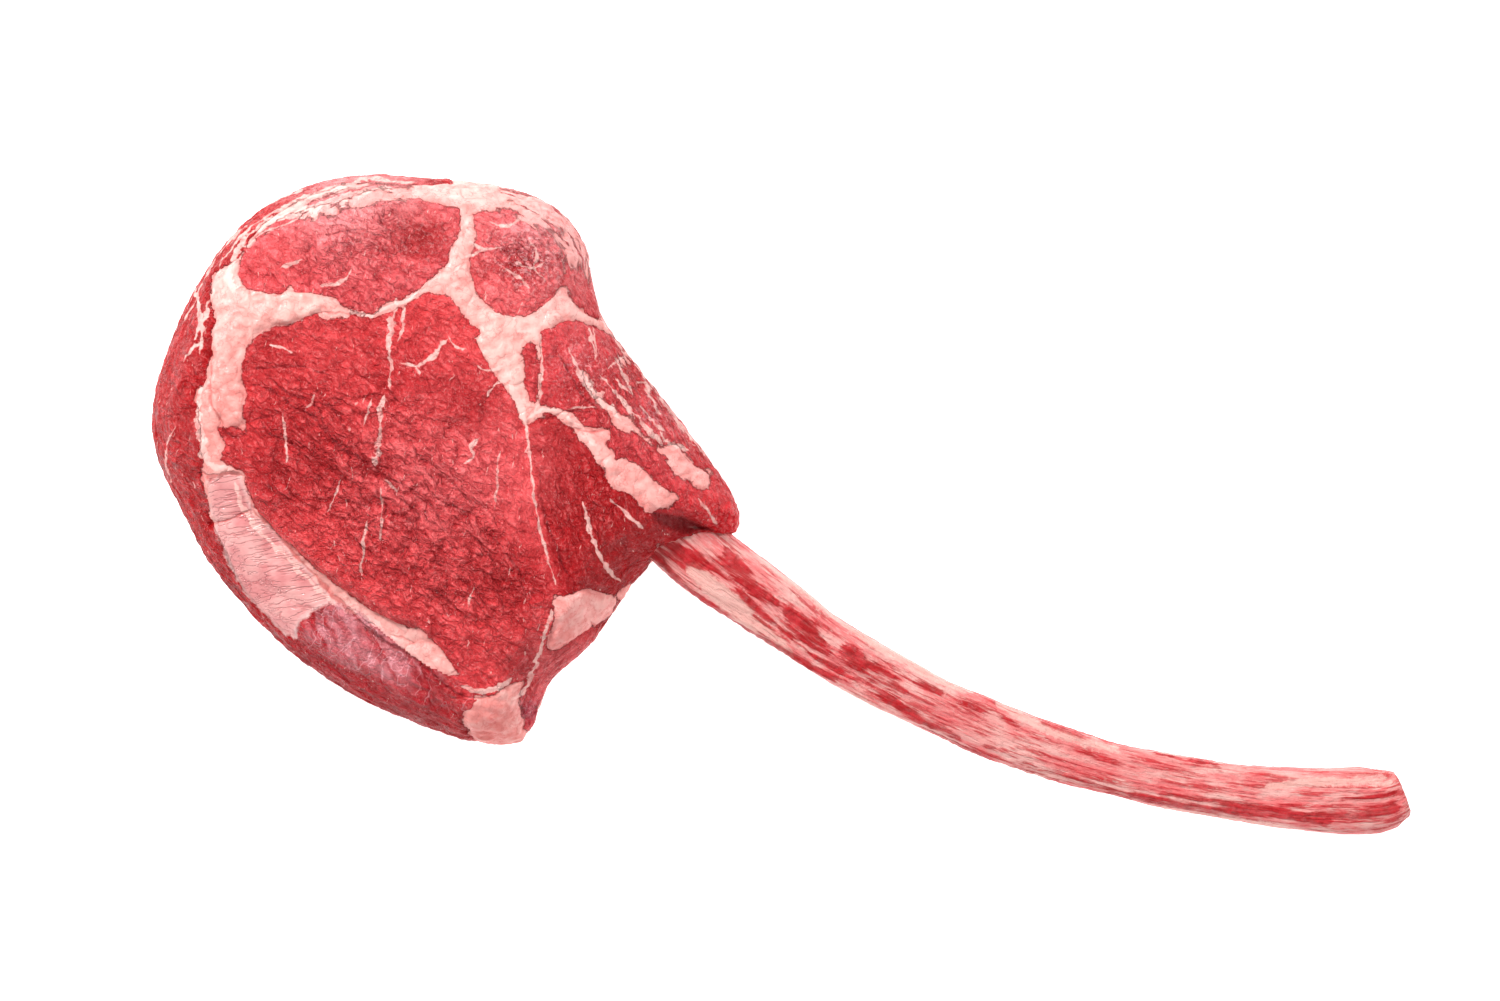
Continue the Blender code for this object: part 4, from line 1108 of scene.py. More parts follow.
    def fat(self) -> tuple[Socket, Socket]:
        """Make the fat: soft lobes with pink between them, a blush beside the flesh, and painted
        shade in its hollows.

        Returns:
            The colour and the height of its fine relief.
        """
        tone = self.tone(Mark.FAT_TONE)
        stirred = self.shift(self.at, 5.0, 1.8)
        lobes = self.folds(stirred, 9.0, 1, 0.45, 0.2)
        mottle = self.noise(self.at, 4.5, 4, 0.6)
        fine = self.noise(self.at, 0.9, 3, 0.6)
        blush = self.rise(self.sum("MULTIPLY_ADD", mottle, 2.2, self.lean_depth), -0.8, 1.4)
        pink = self.blend(0.6, tone, self.fat_pink)
        cream = self.blend(0.5, tone, self.fat_cream)
        colour = self.coats(
            tone,
            (self.rise(mottle, 0.4, 0.7, 0.0, 0.5), cream),
            (self.rise(mottle, 0.52, 0.3, 0.0, 0.8), pink),
            (self.times(self.wrinkles(stirred, 6.5, 0.05, 3, 0.6), 0.45), self.fat_thread),
            (self.rise(lobes, 0.7, 0.1, 0.0, 0.5), pink),
            (self.times(blush, 0.45), self.fat_blush),
            # Painted shade in the hollows of the fat
            (self.rise(self.hollow, 0.15, 0.8, 0.0, 0.75), self.fat_hollow_shade),
            (self.rise(fine, 0.6, 0.8, 0.0, 0.3), self.fat_glint),
        )
        return colour, self.pile((lobes, 0.5), (fine, 0.25), (mottle, 0.5))

    def sheath(self) -> tuple[Socket, Socket]:
        """Make the pale sheath, which has fine stripes across it.

        Returns:
            The colour and the height of its fine relief.
        """
        run = self.stretch(self.shift(self.at, 14.0, 0.6), 12, (60.0, 1.0, 1.0))
        line = self.wrinkles(run, 2.3, 0.12, 2, 0.5)
        faint = self.wrinkles(run, 1.2, 0.2, 2, 0.5)
        patchy = self.rise(self.noise(self.at, 7.0), 0.35, 0.6, 0.25, 1.0)
        colour = self.coats(
            self.sheath_colour,
            (self.rise(self.noise(self.at, 8.0, 3), 0.3, 0.7), self.sheath_blush),
            (self.times(line, patchy, 0.48), self.sheath_line),
            (self.times(faint, patchy, 0.22), self.sheath_line),
            (self.rise(self.sheath_depth, 1.6, 0.0, 0.0, 0.4), self.sheath_edge),
        )
        return colour, self.times(line, -0.3)

    def film(self) -> Socket:
        """Find where the clear film whitens the flesh under it.

        Returns:
            The share of film.
        """
        run = self.stretch(self.shift(self.at, 8.0, 3.0), 112, (7.0, 1.0, 1.0))
        net = self.stretch(self.shift(self.at, 12.0, 4.0), 60, (2.0, 1.0, 1.0))
        veil = self.rise(self.swing(self.noise(run, 4.2, 2, 0.45), 2.4, self.milk), 0.2, 1.6, 0.0,
                         0.8)
        share = self.sum("MULTIPLY_ADD", self.wrinkles(net, 9.0, 0.03, 2), 0.5, veil)
        return self.times(share, self.rise(self.film_depth, -1.5, 2.0))


class BoneFinish(Bench):
    """A scraped rib: pale bone with blood, scraps of flesh and membrane along it."""

    bone_colour = to_linear(250, 184, 177)
    pale_colour = to_linear(254, 198, 187)
    blush_colour = to_linear(244, 124, 124)
    blood_colour = to_linear(206, 44, 50)
    scratch_colour = to_linear(190, 44, 50)
    glint_colour = to_linear(252, 206, 196)
    flesh_colour = to_linear(176, 2, 14)
    flesh_light = to_linear(206, 34, 44)
    marrow_colour = to_linear(226, 158, 148)
    pore_colour = to_linear(186, 70, 70)

    def wire(self) -> bpy.types.Material:
        """Wire the finish.

        Returns:
            The material.
        """
        at = self.at
        along, across, level = self.carried(Mark.RIM)
        flesh, pale, end = self.carried(Mark.COVER)
        long_run, fine_run, patch_run, broad_run = (
            self.drawn(along, factor, across, level) for factor in (13.0, 9.0, 3.4, 4.0))
        streak = self.noise(self.shift(long_run, 5.0, 0.8), 1.9, 4, 0.62)
        fine = self.noise(fine_run, 0.7, 3, 0.6)
        patch = self.noise(patch_run, 5.0, 4, 0.6)
        broad = self.noise(broad_run, 11.0, 3)
        stir = self.swing(self.noise(at, 2.4, 4, 0.65), 2.6, self.swing(streak, 3.0))
        whiten = self.rise(self.sum("MULTIPLY_ADD", pale, 1.5, stir), 0.5, 1.15)
        swirl = self.swing(patch, 2.4, self.swing(streak, 3.2))
        redden = self.rise(self.sum("MULTIPLY_ADD", flesh, 1.3, swirl), 0.4, 1.2)
        bloody = self.blend(self.rise(self.noise(at, 4.0, 3), 0.42, 0.6), self.flesh_colour,
                            self.flesh_light)
        cells = self.make("TexVoronoi", {"Vector": at, "Scale": 1 / 1.1}, "Distance")
        marrow = self.blend(self.rise(cells, 0.15, 0.4), self.pore_colour, self.marrow_colour)
        colour = self.coats(
            self.bone_colour,
            (self.rise(patch, 0.38, 0.62), self.blush_colour),
            (self.rise(broad, 0.48, 0.62, 0.0, 0.6), self.blush_colour),
            (self.rise(streak, 0.48, 0.60, 0.0, 0.8), self.blood_colour),
            (self.rise(fine, 0.46, 0.28, 0.0, 0.6), self.glint_colour),
            (self.rise(fine, 0.58, 0.74, 0.0, 0.65), self.scratch_colour),
            (self.times(whiten, 0.75), self.pale_colour),
            (self.times(redden, 0.86), bloody),
            (end, marrow),
        )
        height = self.pile((streak, 1.9), (fine, 0.6), (self.noise(at, 1.2, 4, 0.65), 0.7))
        return self.finished({
            "Base Color": colour,
            "Normal": self.bump(height),
            "Roughness": self.rise(redden, 0.0, 1.0, 0.46, 0.34),
            "Specular IOR Level": 0.22,
            "Specular Tint": (1.0, 0.62, 0.62),
            "Coat Weight": 0.12,
            "Coat Roughness": 0.2,
        })


class FloorFinish(Bench):
    """A plain white studio floor."""

    glow = 0.85

    def wire(self) -> bpy.types.Material:
        """Wire the finish.

        Returns:
            The material.
        """
        mottle = self.noise(self.at, 90.0, 3)
        return self.finished({
            "Base Color": self.blend(mottle, to_linear(244, 244, 244), to_linear(248, 248, 248)),
            "Roughness": 0.9,
            "Specular IOR Level": 0.1,
            "Emission Color": (1, 1, 1),
            "Emission Strength": self.glow,
        })


@dataclass
class SteakSkin:
    """The meat and its fat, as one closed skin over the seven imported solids.

    Rows of spots hold x, y, radius and strength, and where they paint, a colour.
    """

    title: str = "steak_meat"
    slot: str = "lean"
    spacing: float = 1.9
    swell: float = 0.22
    under_level: float = 7.0
    under_facing: float = -0.25
    under_scale: float = 0.985
    under_drift: float = 5.0
    under_shift: tuple[float, float] = (-2.0, 1.0)
    drift_size: float = 26.0
    vein_height: float = 0.12
    crack_depth: float = 0.9
    cave_depth: float = 1.1
    groove_depth: float = 0.55
    fold_height: float = 1.5
    least_crumple: float = 0.28
    wrap: tuple[float, float] = (-140.0, 15.0)
    fat_base: Rgb = to_linear(246, 180, 172)
    tones: tuple[Rgb, ...] = (
        to_linear(232, 64, 68), to_linear(170, 6, 14), to_linear(210, 54, 60),
        to_linear(232, 82, 86), to_linear(234, 84, 90), to_linear(174, 4, 12),
    )
    # Lean tones; the dark spots at (-138, 103), (-203, 90) and (-45, -8) sit on hollows and paint
    # their shade
    tone_and_shade_spots: tuple[Spot, ...] = spots(
        (-130, 14, 30, 0.9, 250, 96, 100), (-108, 20, 18, 0.5, 236, 84, 88),
        (-190, 30, 28, 0.75, 186, 26, 32), (-96, -30, 16, 0.8, 180, 18, 26),
        (-160, 56, 28, 0.85, 200, 46, 50), (-190, 96, 15, 0.8, 212, 58, 62),
        (-203, 90, 8, 0.5, 196, 24, 30), (-138, 103, 13, 0.9, 178, 6, 12),
        (-163, 106, 16, 0.8, 234, 84, 88), (-106, 88, 7, 0.5, 206, 40, 46),
        (-97, 104, 12, 0.5, 240, 136, 140), (-84, 44, 15, 0.5, 206, 38, 44),
        (-45, 35, 14, 0.4, 226, 60, 66), (-28, -6, 14, 0.9, 222, 14, 26),
        (-45, -8, 9, 0.8, 176, 8, 18), (-64, 56, 9, 0.6, 206, 36, 44),
        (-84, -62, 13, 0.9, 204, 74, 78), (-97, -79, 5, 0.9, 176, 40, 60),
        (-120, 39, 15, 0.95, 176, 24, 30), (-143, 51, 12, 0.85, 184, 28, 34),
        (-46, -20, 8, 0.8, 176, 4, 12), (-116, 90, 8, 0.7, 196, 44, 48),
        (-194, 60, 10, 0.75, 172, 20, 26), (-194, 8, 13, 0.75, 166, 14, 22),
        (-100, -60, 8, 0.7, 164, 16, 24), (-140, -66, 20, 0.8, 172, 8, 26),
        (-172, -54, 16, 0.7, 176, 20, 36), (-100, 92, 8, 0.7, 196, 30, 34),
        (-108, 80, 7, 0.4, 236, 92, 96), (-76, 46, 9, 0.6, 176, 16, 24),
        (-57, 52, 8, 0.7, 188, 18, 26), (-44, 38, 8, 0.6, 188, 18, 26),
        (-30, 18, 8, 0.7, 190, 16, 24), (-58, 32, 8, 0.6, 190, 26, 34),
        (-172, 118, 16, 0.7, 240, 140, 142), (-150, 122, 14, 0.7, 240, 130, 132),
    )
    fat_spots: tuple[Spot, ...] = spots(
        (-190, 78, 30, 0.8, 247, 184, 174), (-212, 40, 24, 0.9, 238, 150, 142),
        (-108, 58, 24, 0.7, 248, 190, 180), (-75, -42, 18, 0.9, 244, 166, 160),
        (-86, -54, 8, 0.8, 226, 118, 116), (-110, -81, 16, 0.9, 240, 150, 144),
        (-85, 105, 22, 0.8, 244, 170, 167), (-210, 76, 9, 0.7, 240, 160, 152),
        (-113, -87, 9, 0.8, 226, 110, 104), (-45, 8, 18, 0.8, 244, 166, 158),
        (-35, 30, 26, 0.6, 240, 150, 146), (-160, 118, 24, 0.6, 246, 176, 172),
    )
    crumple_spots: tuple[Spot, ...] = spots(
        (-135, -10, 34, 0.75), (-180, 28, 24, 0.4), (-160, 5, 30, 0.5), (-115, -30, 24, 0.5),
        (-150, 110, 12, 0.3), (-98, 96, 14, 0.6), (-165, 95, 24, 0.5), (-60, 40, 22, 0.4),
        (-34, 0, 14, 0.3),
    )
    slant_spots: tuple[Spot, ...] = spots(
        (-76, -2, 24, 1.2), (-60, 45, 26, 1.0), (-40, 20, 18, 0.8),
    )
    crumb_spots: tuple[Spot, ...] = spots(
        (-98, 96, 18, 0.9), (-76, 52, 14, 0.55), (-44, 30, 12, 0.4), (-140, 100, 16, 0.35),
        (-165, 102, 12, 0.35), (-26, -6, 14, 0.3), (-82, 104, 14, 0.4),
    )
    mixed_spots: tuple[Spot, ...] = spots(
        (-86, 108, 13, 1.0), (-76, 96, 10, 1.0), (-104, 116, 8, 0.8), (-44, 20, 14, 0.3),
        (-62, 38, 14, 0.25), (-30, 2, 10, 0.3), (-176, 116, 14, 0.7), (-150, 118, 12, 0.7),
        (-60, 60, 8, 0.6),
    )
    milk_spots: tuple[Spot, ...] = spots(
        (-166, -47, 14, 0.9), (-155, -56, 13, 0.8), (-172, -38, 6, 0.9), (-144, -62, 10, 0.6),
        (-180, -48, 5, 0.4),
    )
    # Zones that are glossier and get painted glints
    lilac_spots: tuple[Spot, ...] = spots(
        (-51, 35, 6, 0.6), (-80, 55, 9, 0.4), (-92, 92, 12, 0.35), (-107, 96, 9, 0.25),
        (-168, 108, 12, 0.35), (-97, -77, 6, 0.5),
    )
    hollows: tuple[Spot, ...] = spots(
        (-138, 102, 10, 1.6), (-104, 90, 5, 0.9), (-203, 90, 5, 1.0), (-38, -8, 6, 1.8),
        (-150, 40, 5, 0.8), (-208, 28, 4, 1.4),
    )
    cavity: tuple[Row, ...] = ((-49, -4, 1.2), (-42, -7, 2.6), (-35, -10, 2.8), (-29, -10, 1.2))

    def build(self) -> bpy.types.Object:
        """Build the skin, shape its relief, and mark what its finish needs.

        Returns:
            The finished piece.
        """
        piece = merged_copy(("seam_fat", *MUSCLES), self.title)
        remesh(piece, self.swell, self.spacing)
        self.refine(piece.data)
        self.dress(piece.data)
        coat(piece, FleshFinish().wire())
        return piece

    def refine(self, mesh: bpy.types.Mesh) -> None:
        """Halve the squares everywhere but on the underside, and even out the steps.

        Args:
            mesh: The skin's mesh.
        """
        with opened(mesh) as form:
            smooth(form)
            smooth(form)
            upper = [face for face in form.faces
                     if face.calc_center_median().z > self.under_level * MM or face.normal.z > 0.2]
            edges = list({edge for face in upper for edge in face.edges})
            bmesh.ops.subdivide_edges(form, edges=edges, cuts=1, use_grid_fill=True)
            smooth(form)
            bmesh.ops.triangulate(form, faces=[face for face in form.faces if len(face.verts) > 4])

    def nearness(self, places: np.ndarray) -> tuple[np.ndarray, np.ndarray]:
        """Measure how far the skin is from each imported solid.

        Args:
            places: The skin's corners in millimetres.

        Returns:
            The distance to the fat, and a column of distances for each muscle.
        """
        columns = []
        rows = (places * MM).tolist()
        for name in ("seam_fat", *MUSCLES):
            form = bmesh.new()
            form.from_mesh(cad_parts[name].data)
            bmesh.ops.remove_doubles(form, verts=form.verts, dist=WELD)
            tree = BVHTree.FromBMesh(form)
            form.free()
            columns.append(np.array([tree.find_nearest(row)[3] for row in rows]) / MM)
        return columns[0], np.stack(columns[1:], axis=1)

    def dress(self, mesh: bpy.types.Mesh) -> None:
        """Raise the relief and store the marks that the finish reads.

        Args:
            mesh: The skin's mesh.
        """
        places = corners(mesh)
        faced = directions(mesh)
        plan = places[:, :2].copy()
        under = faced[:, 2] < self.under_facing
        drift = np.stack([Grain.soft(places, self.drift_size, seed) for seed in (3.1, 7.7)], axis=1)
        drift = drift[under] * self.under_drift
        plan[under] = plan[under] * self.under_scale + drift + self.under_shift
        upness = np.where(under, 1.0, ease(faced[:, 2], -0.1, 0.25))

        to_fat, to_muscles = self.nearness(places)
        lean = to_fat - to_muscles.min(axis=1)
        for _, flesh, knots in LAYOUT:
            depth = np.where(upness > 0.05, patch_depth(knots, plan), OUTSIDE)
            lean = np.maximum(lean, depth) if flesh is Flesh.LEAN else np.minimum(lean, -depth)
        upper_side = (~under) & (upness > 0.02)
        sheath, film = (np.where(upper_side, patch_depth(knots, plan), OUTSIDE)
                        for knots in (SHEATH, FILM))
        lean = np.where(film > 0, np.maximum(lean, film), lean)
        mixed = np.clip(total(self.mixed_spots, plan), 0, 1)
        lean = lean * (1 - mixed) + 1.1 * np.tanh(lean / 2.5) * mixed

        relief, hollow = self.relief(places, plan, faced, lean, sheath, film, mixed)
        relief += self.vein_height * self.store_lines(mesh, Mark.VEINS, VEINS, plan, upness)
        relief -= self.crack_depth * self.store_lines(mesh, Mark.CRACKS, CRACKS, plan, upness)
        # The cavity by the bone is sunk, and its share is also kept for painted shade
        offset, width = Stroke(self.cavity, reach=3.0).offsets(plan)
        cave = np.where(upper_side & (width > FAR), ease(width - np.abs(offset), -1.5, 0.8), 0)
        relief -= self.cave_depth * cave
        displace(mesh, places, faced, relief)

        weights = 1 / (0.15 + to_muscles) ** 3
        weights /= weights.sum(axis=1, keepdims=True)
        fat_tone = np.tile(np.array(self.fat_base), (len(places), 1))
        store_tone(mesh, Mark.LEAN_TONE.value,
                   painted(weights @ np.array(self.tones), self.tone_and_shade_spots, plan))
        store_tone(mesh, Mark.FAT_TONE.value, painted(fat_tone, self.fat_spots, plan))
        crumb, lilac, milk, crumple, slant = (
            np.clip(total(given, plan), 0, 1) for given in (
                self.crumb_spots, self.lilac_spots, self.milk_spots, self.crumple_spots,
                self.slant_spots))
        gloss = np.clip(ease(film, -2, 2) + 0.8 * ease(sheath, -1, 2) + lilac, 0, 1)
        store(mesh, Mark.DEPTHS.value, lean, sheath, film)
        store(mesh, Mark.RELIEF.value, hollow, crumb, gloss)
        store(mesh, Mark.RIM.value, *self.rim(places), upness)
        store(mesh, Mark.COVER.value, lilac, cave, milk)
        store(mesh, Mark.GRAIN.value, crumple, slant, mixed)

    def store_lines(self, mesh: bpy.types.Mesh, mark: Mark, lines: dict[str, tuple[Row, ...]],
                    plan: np.ndarray, upness: np.ndarray) -> np.ndarray:
        """Store the strokes of each layer.

        Args:
            mesh: The skin's mesh.
            mark: The name that they are stored under.
            lines: The strokes.
            plan: The corners in plan.
            upness: How far each corner faces up or down, from 0 to 1.

        Returns:
            How much of each corner's surroundings the strokes cover.
        """
        fine = mark is Mark.VEINS
        count = FleshFinish.vein_layers if fine else FleshFinish.crack_layers
        covered = np.zeros(len(plan))
        for index, layer in enumerate(in_layers(map(Stroke, lines.values()), count)):
            offset = np.full(len(plan), AWAY)
            width = np.full(len(plan), FAR)
            for stroke in layer:
                aside, half = stroke.offsets(plan)
                take = (np.abs(aside) < np.abs(offset)) & (half > FAR)
                offset = np.where(take, aside, offset)
                width = np.where(take, half, width)
            width = np.where(upness > 0.3, width, FAR)
            offset = np.clip(offset, -6, 6)
            store(mesh, f"{mark.value}_{index}", offset, width, width * 0)
            if fine:
                shape = ease(width + 0.9 - np.abs(offset), 0, 1.4)
            else:
                shape = np.where(width > FAR, np.exp(-np.abs(offset) / 1.3), 0)
            covered = np.maximum(covered, shape)
        return covered

    def rim(self, places: np.ndarray) -> tuple[np.ndarray, np.ndarray]:
        """Measure where each corner lies along and in from the rim.

        Args:
            places: The skin's corners in millimetres.

        Returns:
            The way round the rim, and the distance in from it.
        """
        steps, half_window, mean_radius = 360, 4, 100.0
        spoke = places[:, :2] - self.wrap
        turn = np.arctan2(spoke[:, 1], spoke[:, 0])
        bins = ((turn + math.pi) / math.tau * steps).astype(int) % steps
        reach = np.zeros(steps)
        np.maximum.at(reach, bins, np.linalg.norm(spoke, axis=1))
        span = 2 * half_window + 1
        ring = np.concatenate([reach[-half_window:], reach, reach[:half_window]])
        reach = np.convolve(ring, np.ones(span) / span, "valid")
        marks = (np.arange(steps) + 0.5) / steps * math.tau - math.pi
        limit = np.interp(turn, marks, reach, period=math.tau)
        return turn * mean_radius, limit - np.linalg.norm(spoke, axis=1)

    def relief(self, places: np.ndarray, plan: np.ndarray, faced: np.ndarray, lean: np.ndarray,
               sheath: np.ndarray, film: np.ndarray, mixed: np.ndarray
               ) -> tuple[np.ndarray, np.ndarray]:
        """Shape the folds of the flesh and the lobes of the fat.

        Args:
            places: The skin's corners in millimetres.
            plan: The corners in plan.
            faced: The direction that each corner faces.
            lean: How far inside the flesh each corner is.
            sheath: How far inside the pale sheath it is.
            film: How far inside the clear film it is.
            mixed: How far flesh and fat are crumbled together there, from 0 to 1.

        Returns:
            The height of the relief in millimetres, and how hollow each corner is, which the finish
            darkens as painted shade and, below 0, lightens as painted highlight.
        """
        sleek = np.maximum(ease(sheath, -1.5, 1.0), ease(film, -1.5, 1.0))
        in_lean = ease(lean, -0.6, 0.8) * (1 - sleek)
        in_fat = (1 - ease(lean, -0.8, 0.6)) * (1 - sleek)
        crumple = np.clip(self.least_crumple + total(self.crumple_spots, plan), 0, 1.3)
        crumb = np.clip(total(self.crumb_spots, plan), 0, 1)

        turn = math.radians(FleshFinish.grain_turn)
        swirl = np.stack([Grain.soft(places, 11.0, seed) for seed in (1.3, 5.9, 9.1)], axis=1)
        stirred = places + swirl * 2.6
        along = stirred[:, 0] * math.cos(turn) + stirred[:, 1] * math.sin(turn)
        aside = -stirred[:, 0] * math.sin(turn) + stirred[:, 1] * math.cos(turn)
        drawn = np.stack([along / 1.75, aside, stirred[:, 2]], axis=1)
        broad, small = (np.minimum(np.abs(Grain.rough(drawn, size, seed)) / 0.35, 1) ** 0.8
                        for size, seed in ((8.5, 2.0), (4.4, 8.0)))
        waves = Grain.rough(places, 9.0, 4.0) * 0.5
        folds = (0.6 * broad + 0.4 * small - 0.6) * self.fold_height * crumple + waves * crumple
        flesh = folds + Grain.rough(places, 4.2, 12.0) * (0.22 + 0.6 * crumb)

        lobes = Grain.cells(places + swirl * 1.4, 8.5, 15.0)
        fat = ease(lobes, 0.0, 0.35) * 0.55 - 0.3 + Grain.rough(places, 7.0, 20.0, 2) * 0.5
        groove = np.exp(-((lean / 0.9) ** 2)) * (1 - sleek) * (1 - mixed)
        height = flesh * in_lean + fat * in_fat - self.groove_depth * groove
        height += sleek * Grain.soft(places, 12.0, 31.0) * 0.3
        sunk = total(self.hollows, plan) * ease(faced[:, 2], 0.1, 0.6)
        height -= sunk
        side = 1 - ease(np.abs(faced[:, 2]), 0.3, 0.8)
        height += side * Grain.rough(places * (0.5, 0.5, 1.6), 4.0, 40.0) * 0.5
        # The hollow measure drives painted shade in folds, sunk spots, grooves and fat hollows, and
        # painted highlight on ridges
        hollow = in_lean * (-folds * 0.9 + 0.1) + np.clip(sunk * 0.3, 0, 0.7)
        hollow += 0.25 * groove + in_fat * np.clip(0.25 - lobes, 0, 0.3)
        return height, np.clip(hollow, -1, 1)


@dataclass
class RibSkin:
    """The scraped rib bone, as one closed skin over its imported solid."""

    title: str = "rib_bone_scraped"
    slot: str = "bone"
    spacing: float = 0.95
    reach: float = 4.0
    ridge_height: float = 0.6
    scrap_height: float = 0.3
    flesh_height: float = 0.15
    pale_depth: float = 0.3
    sawn_from: tuple[float, float] = (232, 240)
    line_step: float = 4.0
    line: tuple[Row, ...] = (
        (-53.6, -1.6), (-37.6, -14.6), (-23.6, -25.6), (-7.6, -36.6), (14.4, -52.6),
        (38.4, -66.6), (62.4, -78.6), (88.4, -89.6), (114.4, -98.6), (142.4, -105.6),
        (170.4, -110.6), (196.4, -113.6), (216.4, -114.6), (231.4, -114.6), (240.9, -111.6),
    )
    flesh_strokes: tuple[tuple[Row, ...], ...] = (
        ((-46.5, -16, 4), (-36.5, -19.6, 3.4), (-28, -21.7, 3), (-17.9, -24.4, 3)),
        ((-48.1, -23, 1.4), (-41.9, -28.1, 1.6), (-32.6, -36.3, 1.4)),
        ((-34, -19.6, 0.9), (-21.8, -26.7, 0.8), (-11.2, -39, 0.9), (1.1, -49.5, 0.8),
         (16.9, -56.5, 0.6)),
        ((-21.8, -16.8, 2), (-17.1, -24.5, 3.2), (-10.2, -32.3, 3), (-3.6, -37.3, 1.8)),
        ((0.2, -40.8, 1.8), (5.3, -44.6, 3.2), (10.7, -49.3, 3), (14.5, -52.4, 1.5)),
        ((22.3, -54.7, 1.8), (28.5, -59.3, 3.2), (35.4, -64, 3), (42.7, -68.6, 2.4),
         (47, -71.7, 1.5)),
        ((50.5, -67.8, 1.2), (56.3, -69.8, 1.8), (60.9, -71.7, 1.2)),
        ((32.3, -68.6, 1), (40.8, -74.8, 1.8), (50.5, -81, 2.2), (60.1, -86.4, 2),
         (67.9, -90.2, 1)),
        ((-51.9, -19.1, 3), (-38.8, -31.5, 3.2), (-21, -44.6, 2.4), (-5.6, -53.1, 1.8),
         (9.9, -61.3, 1.2), (20, -67, 0.8)),
        ((67.9, -75.5, 0.5), (77.5, -79.4, 0.7), (87.2, -83.3, 0.7), (91, -84.8, 0.5)),
        ((77.5, -92.2, 0.5), (87.2, -96.8, 0.7), (102.6, -102.6, 0.8), (122, -108.4, 0.7),
         (141.3, -113.4, 0.8), (162.5, -117.3, 0.6)),
        ((144.4, -96, 0.8), (150.6, -96.8, 1.2)),
        ((158.7, -98.7, 1), (165.2, -99.1, 1.2), (170.3, -103.4, 1)),
        ((146, -112.4, 1.2), (160.4, -115.6, 3.2), (174.1, -116.6, 3.2), (187.6, -118.1, 2.2),
         (199.2, -119.6, 2.1), (210.8, -121.9, 1.6)),
        ((204.8, -118.6, 0.9), (214.4, -119.1, 1.7), (226.1, -119.3, 2.2), (236.9, -116.7, 1.8)),
        ((216, -113.5, 0.5), (226, -112.9, 1), (236, -111, 0.9)),
        ((-12, -42, 0.4), (4, -53, 0.6), (18, -62, 0.6), (34, -72, 0.5)),
        ((100, -84, 0.4), (120, -89.5, 0.6), (142, -94, 0.6), (165, -97, 0.4)),
        ((98.8, -91.8, 0.5), (118.1, -96.8, 0.8), (137.4, -101.8, 0.5)),
        ((56.3, -88.3, 0.6), (83.3, -99.9, 0.8), (106.5, -106.8, 0.6)),
    )
    pale_strokes: tuple[tuple[Row, ...], ...] = (
        ((-35.7, -23.8, 3), (-26.8, -32.3, 4), (-15.2, -41.9, 4), (-3.6, -51.6, 3.2),
         (2.2, -57.4, 2)),
        ((-12.5, -16.8, 1), (2.2, -28.4, 1.4), (17.6, -40.8, 1.6), (33.1, -51.6, 1.8),
         (52.4, -62.4, 2.6), (71.7, -71.7, 1.8)),
        ((21.5, -70.9, 1.3), (37, -79.4, 1.8), (56.3, -89.5, 2), (75.6, -98, 1.4)),
        ((83.3, -76.7, 1.6), (106.5, -88.3, 2), (129.7, -94.9, 1.6)),
        ((187.6, -108.8, 1.4), (210.8, -106.5, 2), (234.8, -106.5, 1.6)),
        ((83.3, -102.6, 1.2), (106.5, -109.6, 1.5), (129.7, -115.3, 1.5), (152.9, -119.2, 1.5),
         (172.2, -121.9, 1.3), (195.4, -125, 1)),
    )

    def build(self) -> bpy.types.Object:
        """Build the rib's skin, its grooves and scraps, and mark what its finish needs.

        Returns:
            The finished piece.
        """
        piece = merged_copy(("rib_bone",), self.title)
        remesh(piece, 0.0, self.spacing)
        with opened(piece.data) as form:
            smooth(form)
            smooth(form)
        self.dress(piece.data)
        coat(piece, BoneFinish("scraped_rib").wire())
        return piece

    def dress(self, mesh: bpy.types.Mesh) -> None:
        """Raise the relief and store the marks that the finish reads.

        Args:
            mesh: The rib's mesh.
        """
        places = corners(mesh)
        faced = directions(mesh)
        plan = places[:, :2]
        along, across = self.course(plan)
        up = ease(faced[:, 2], -0.3, 0.2)
        flesh = self.covered(self.flesh_strokes, plan, -2.2, 1.4) * up
        pale = self.covered(self.pale_strokes, plan, -1.6, 2.0) * up
        end = ease(faced[:, 0], 0.75, 0.92) * ease(places[:, 0], *self.sawn_from)
        run = np.stack([along / 7, across, places[:, 2]], axis=1)
        ridges = Grain.rough(run, 3.6, 3.0)
        scraps = Grain.rough(places, 2.6, 9.0, 4)
        height = self.ridge_height * ridges + self.scrap_height * scraps * (0.5 + flesh)
        height = height + self.flesh_height * flesh - self.pale_depth * pale * up
        height *= 1 - 0.8 * end
        displace(mesh, places, faced, height)
        store(mesh, Mark.RIM.value, along, across, places[:, 2])
        store(mesh, Mark.COVER.value, flesh, pale, end)

    def covered(self, strokes: Iterable[tuple[Row, ...]], plan: np.ndarray, low: float, high: float
                ) -> np.ndarray:
        """Tell how far inside any of the strokes plan points are.

        Args:
            strokes: The strokes' knots.
            plan: The points, as rows of x and y.
            low: The depth inside a stroke at which its share begins, in millimetres.
            high: The depth at which its share is full.

        Returns:
            Shares from 0 to 1.
        """
        share = np.zeros(len(plan))
        for knots in strokes:
            offset, width = Stroke(knots, self.reach).offsets(plan)
            share = np.maximum(share, ease(width - np.abs(offset), low, high) * (width > FAR))
        return share

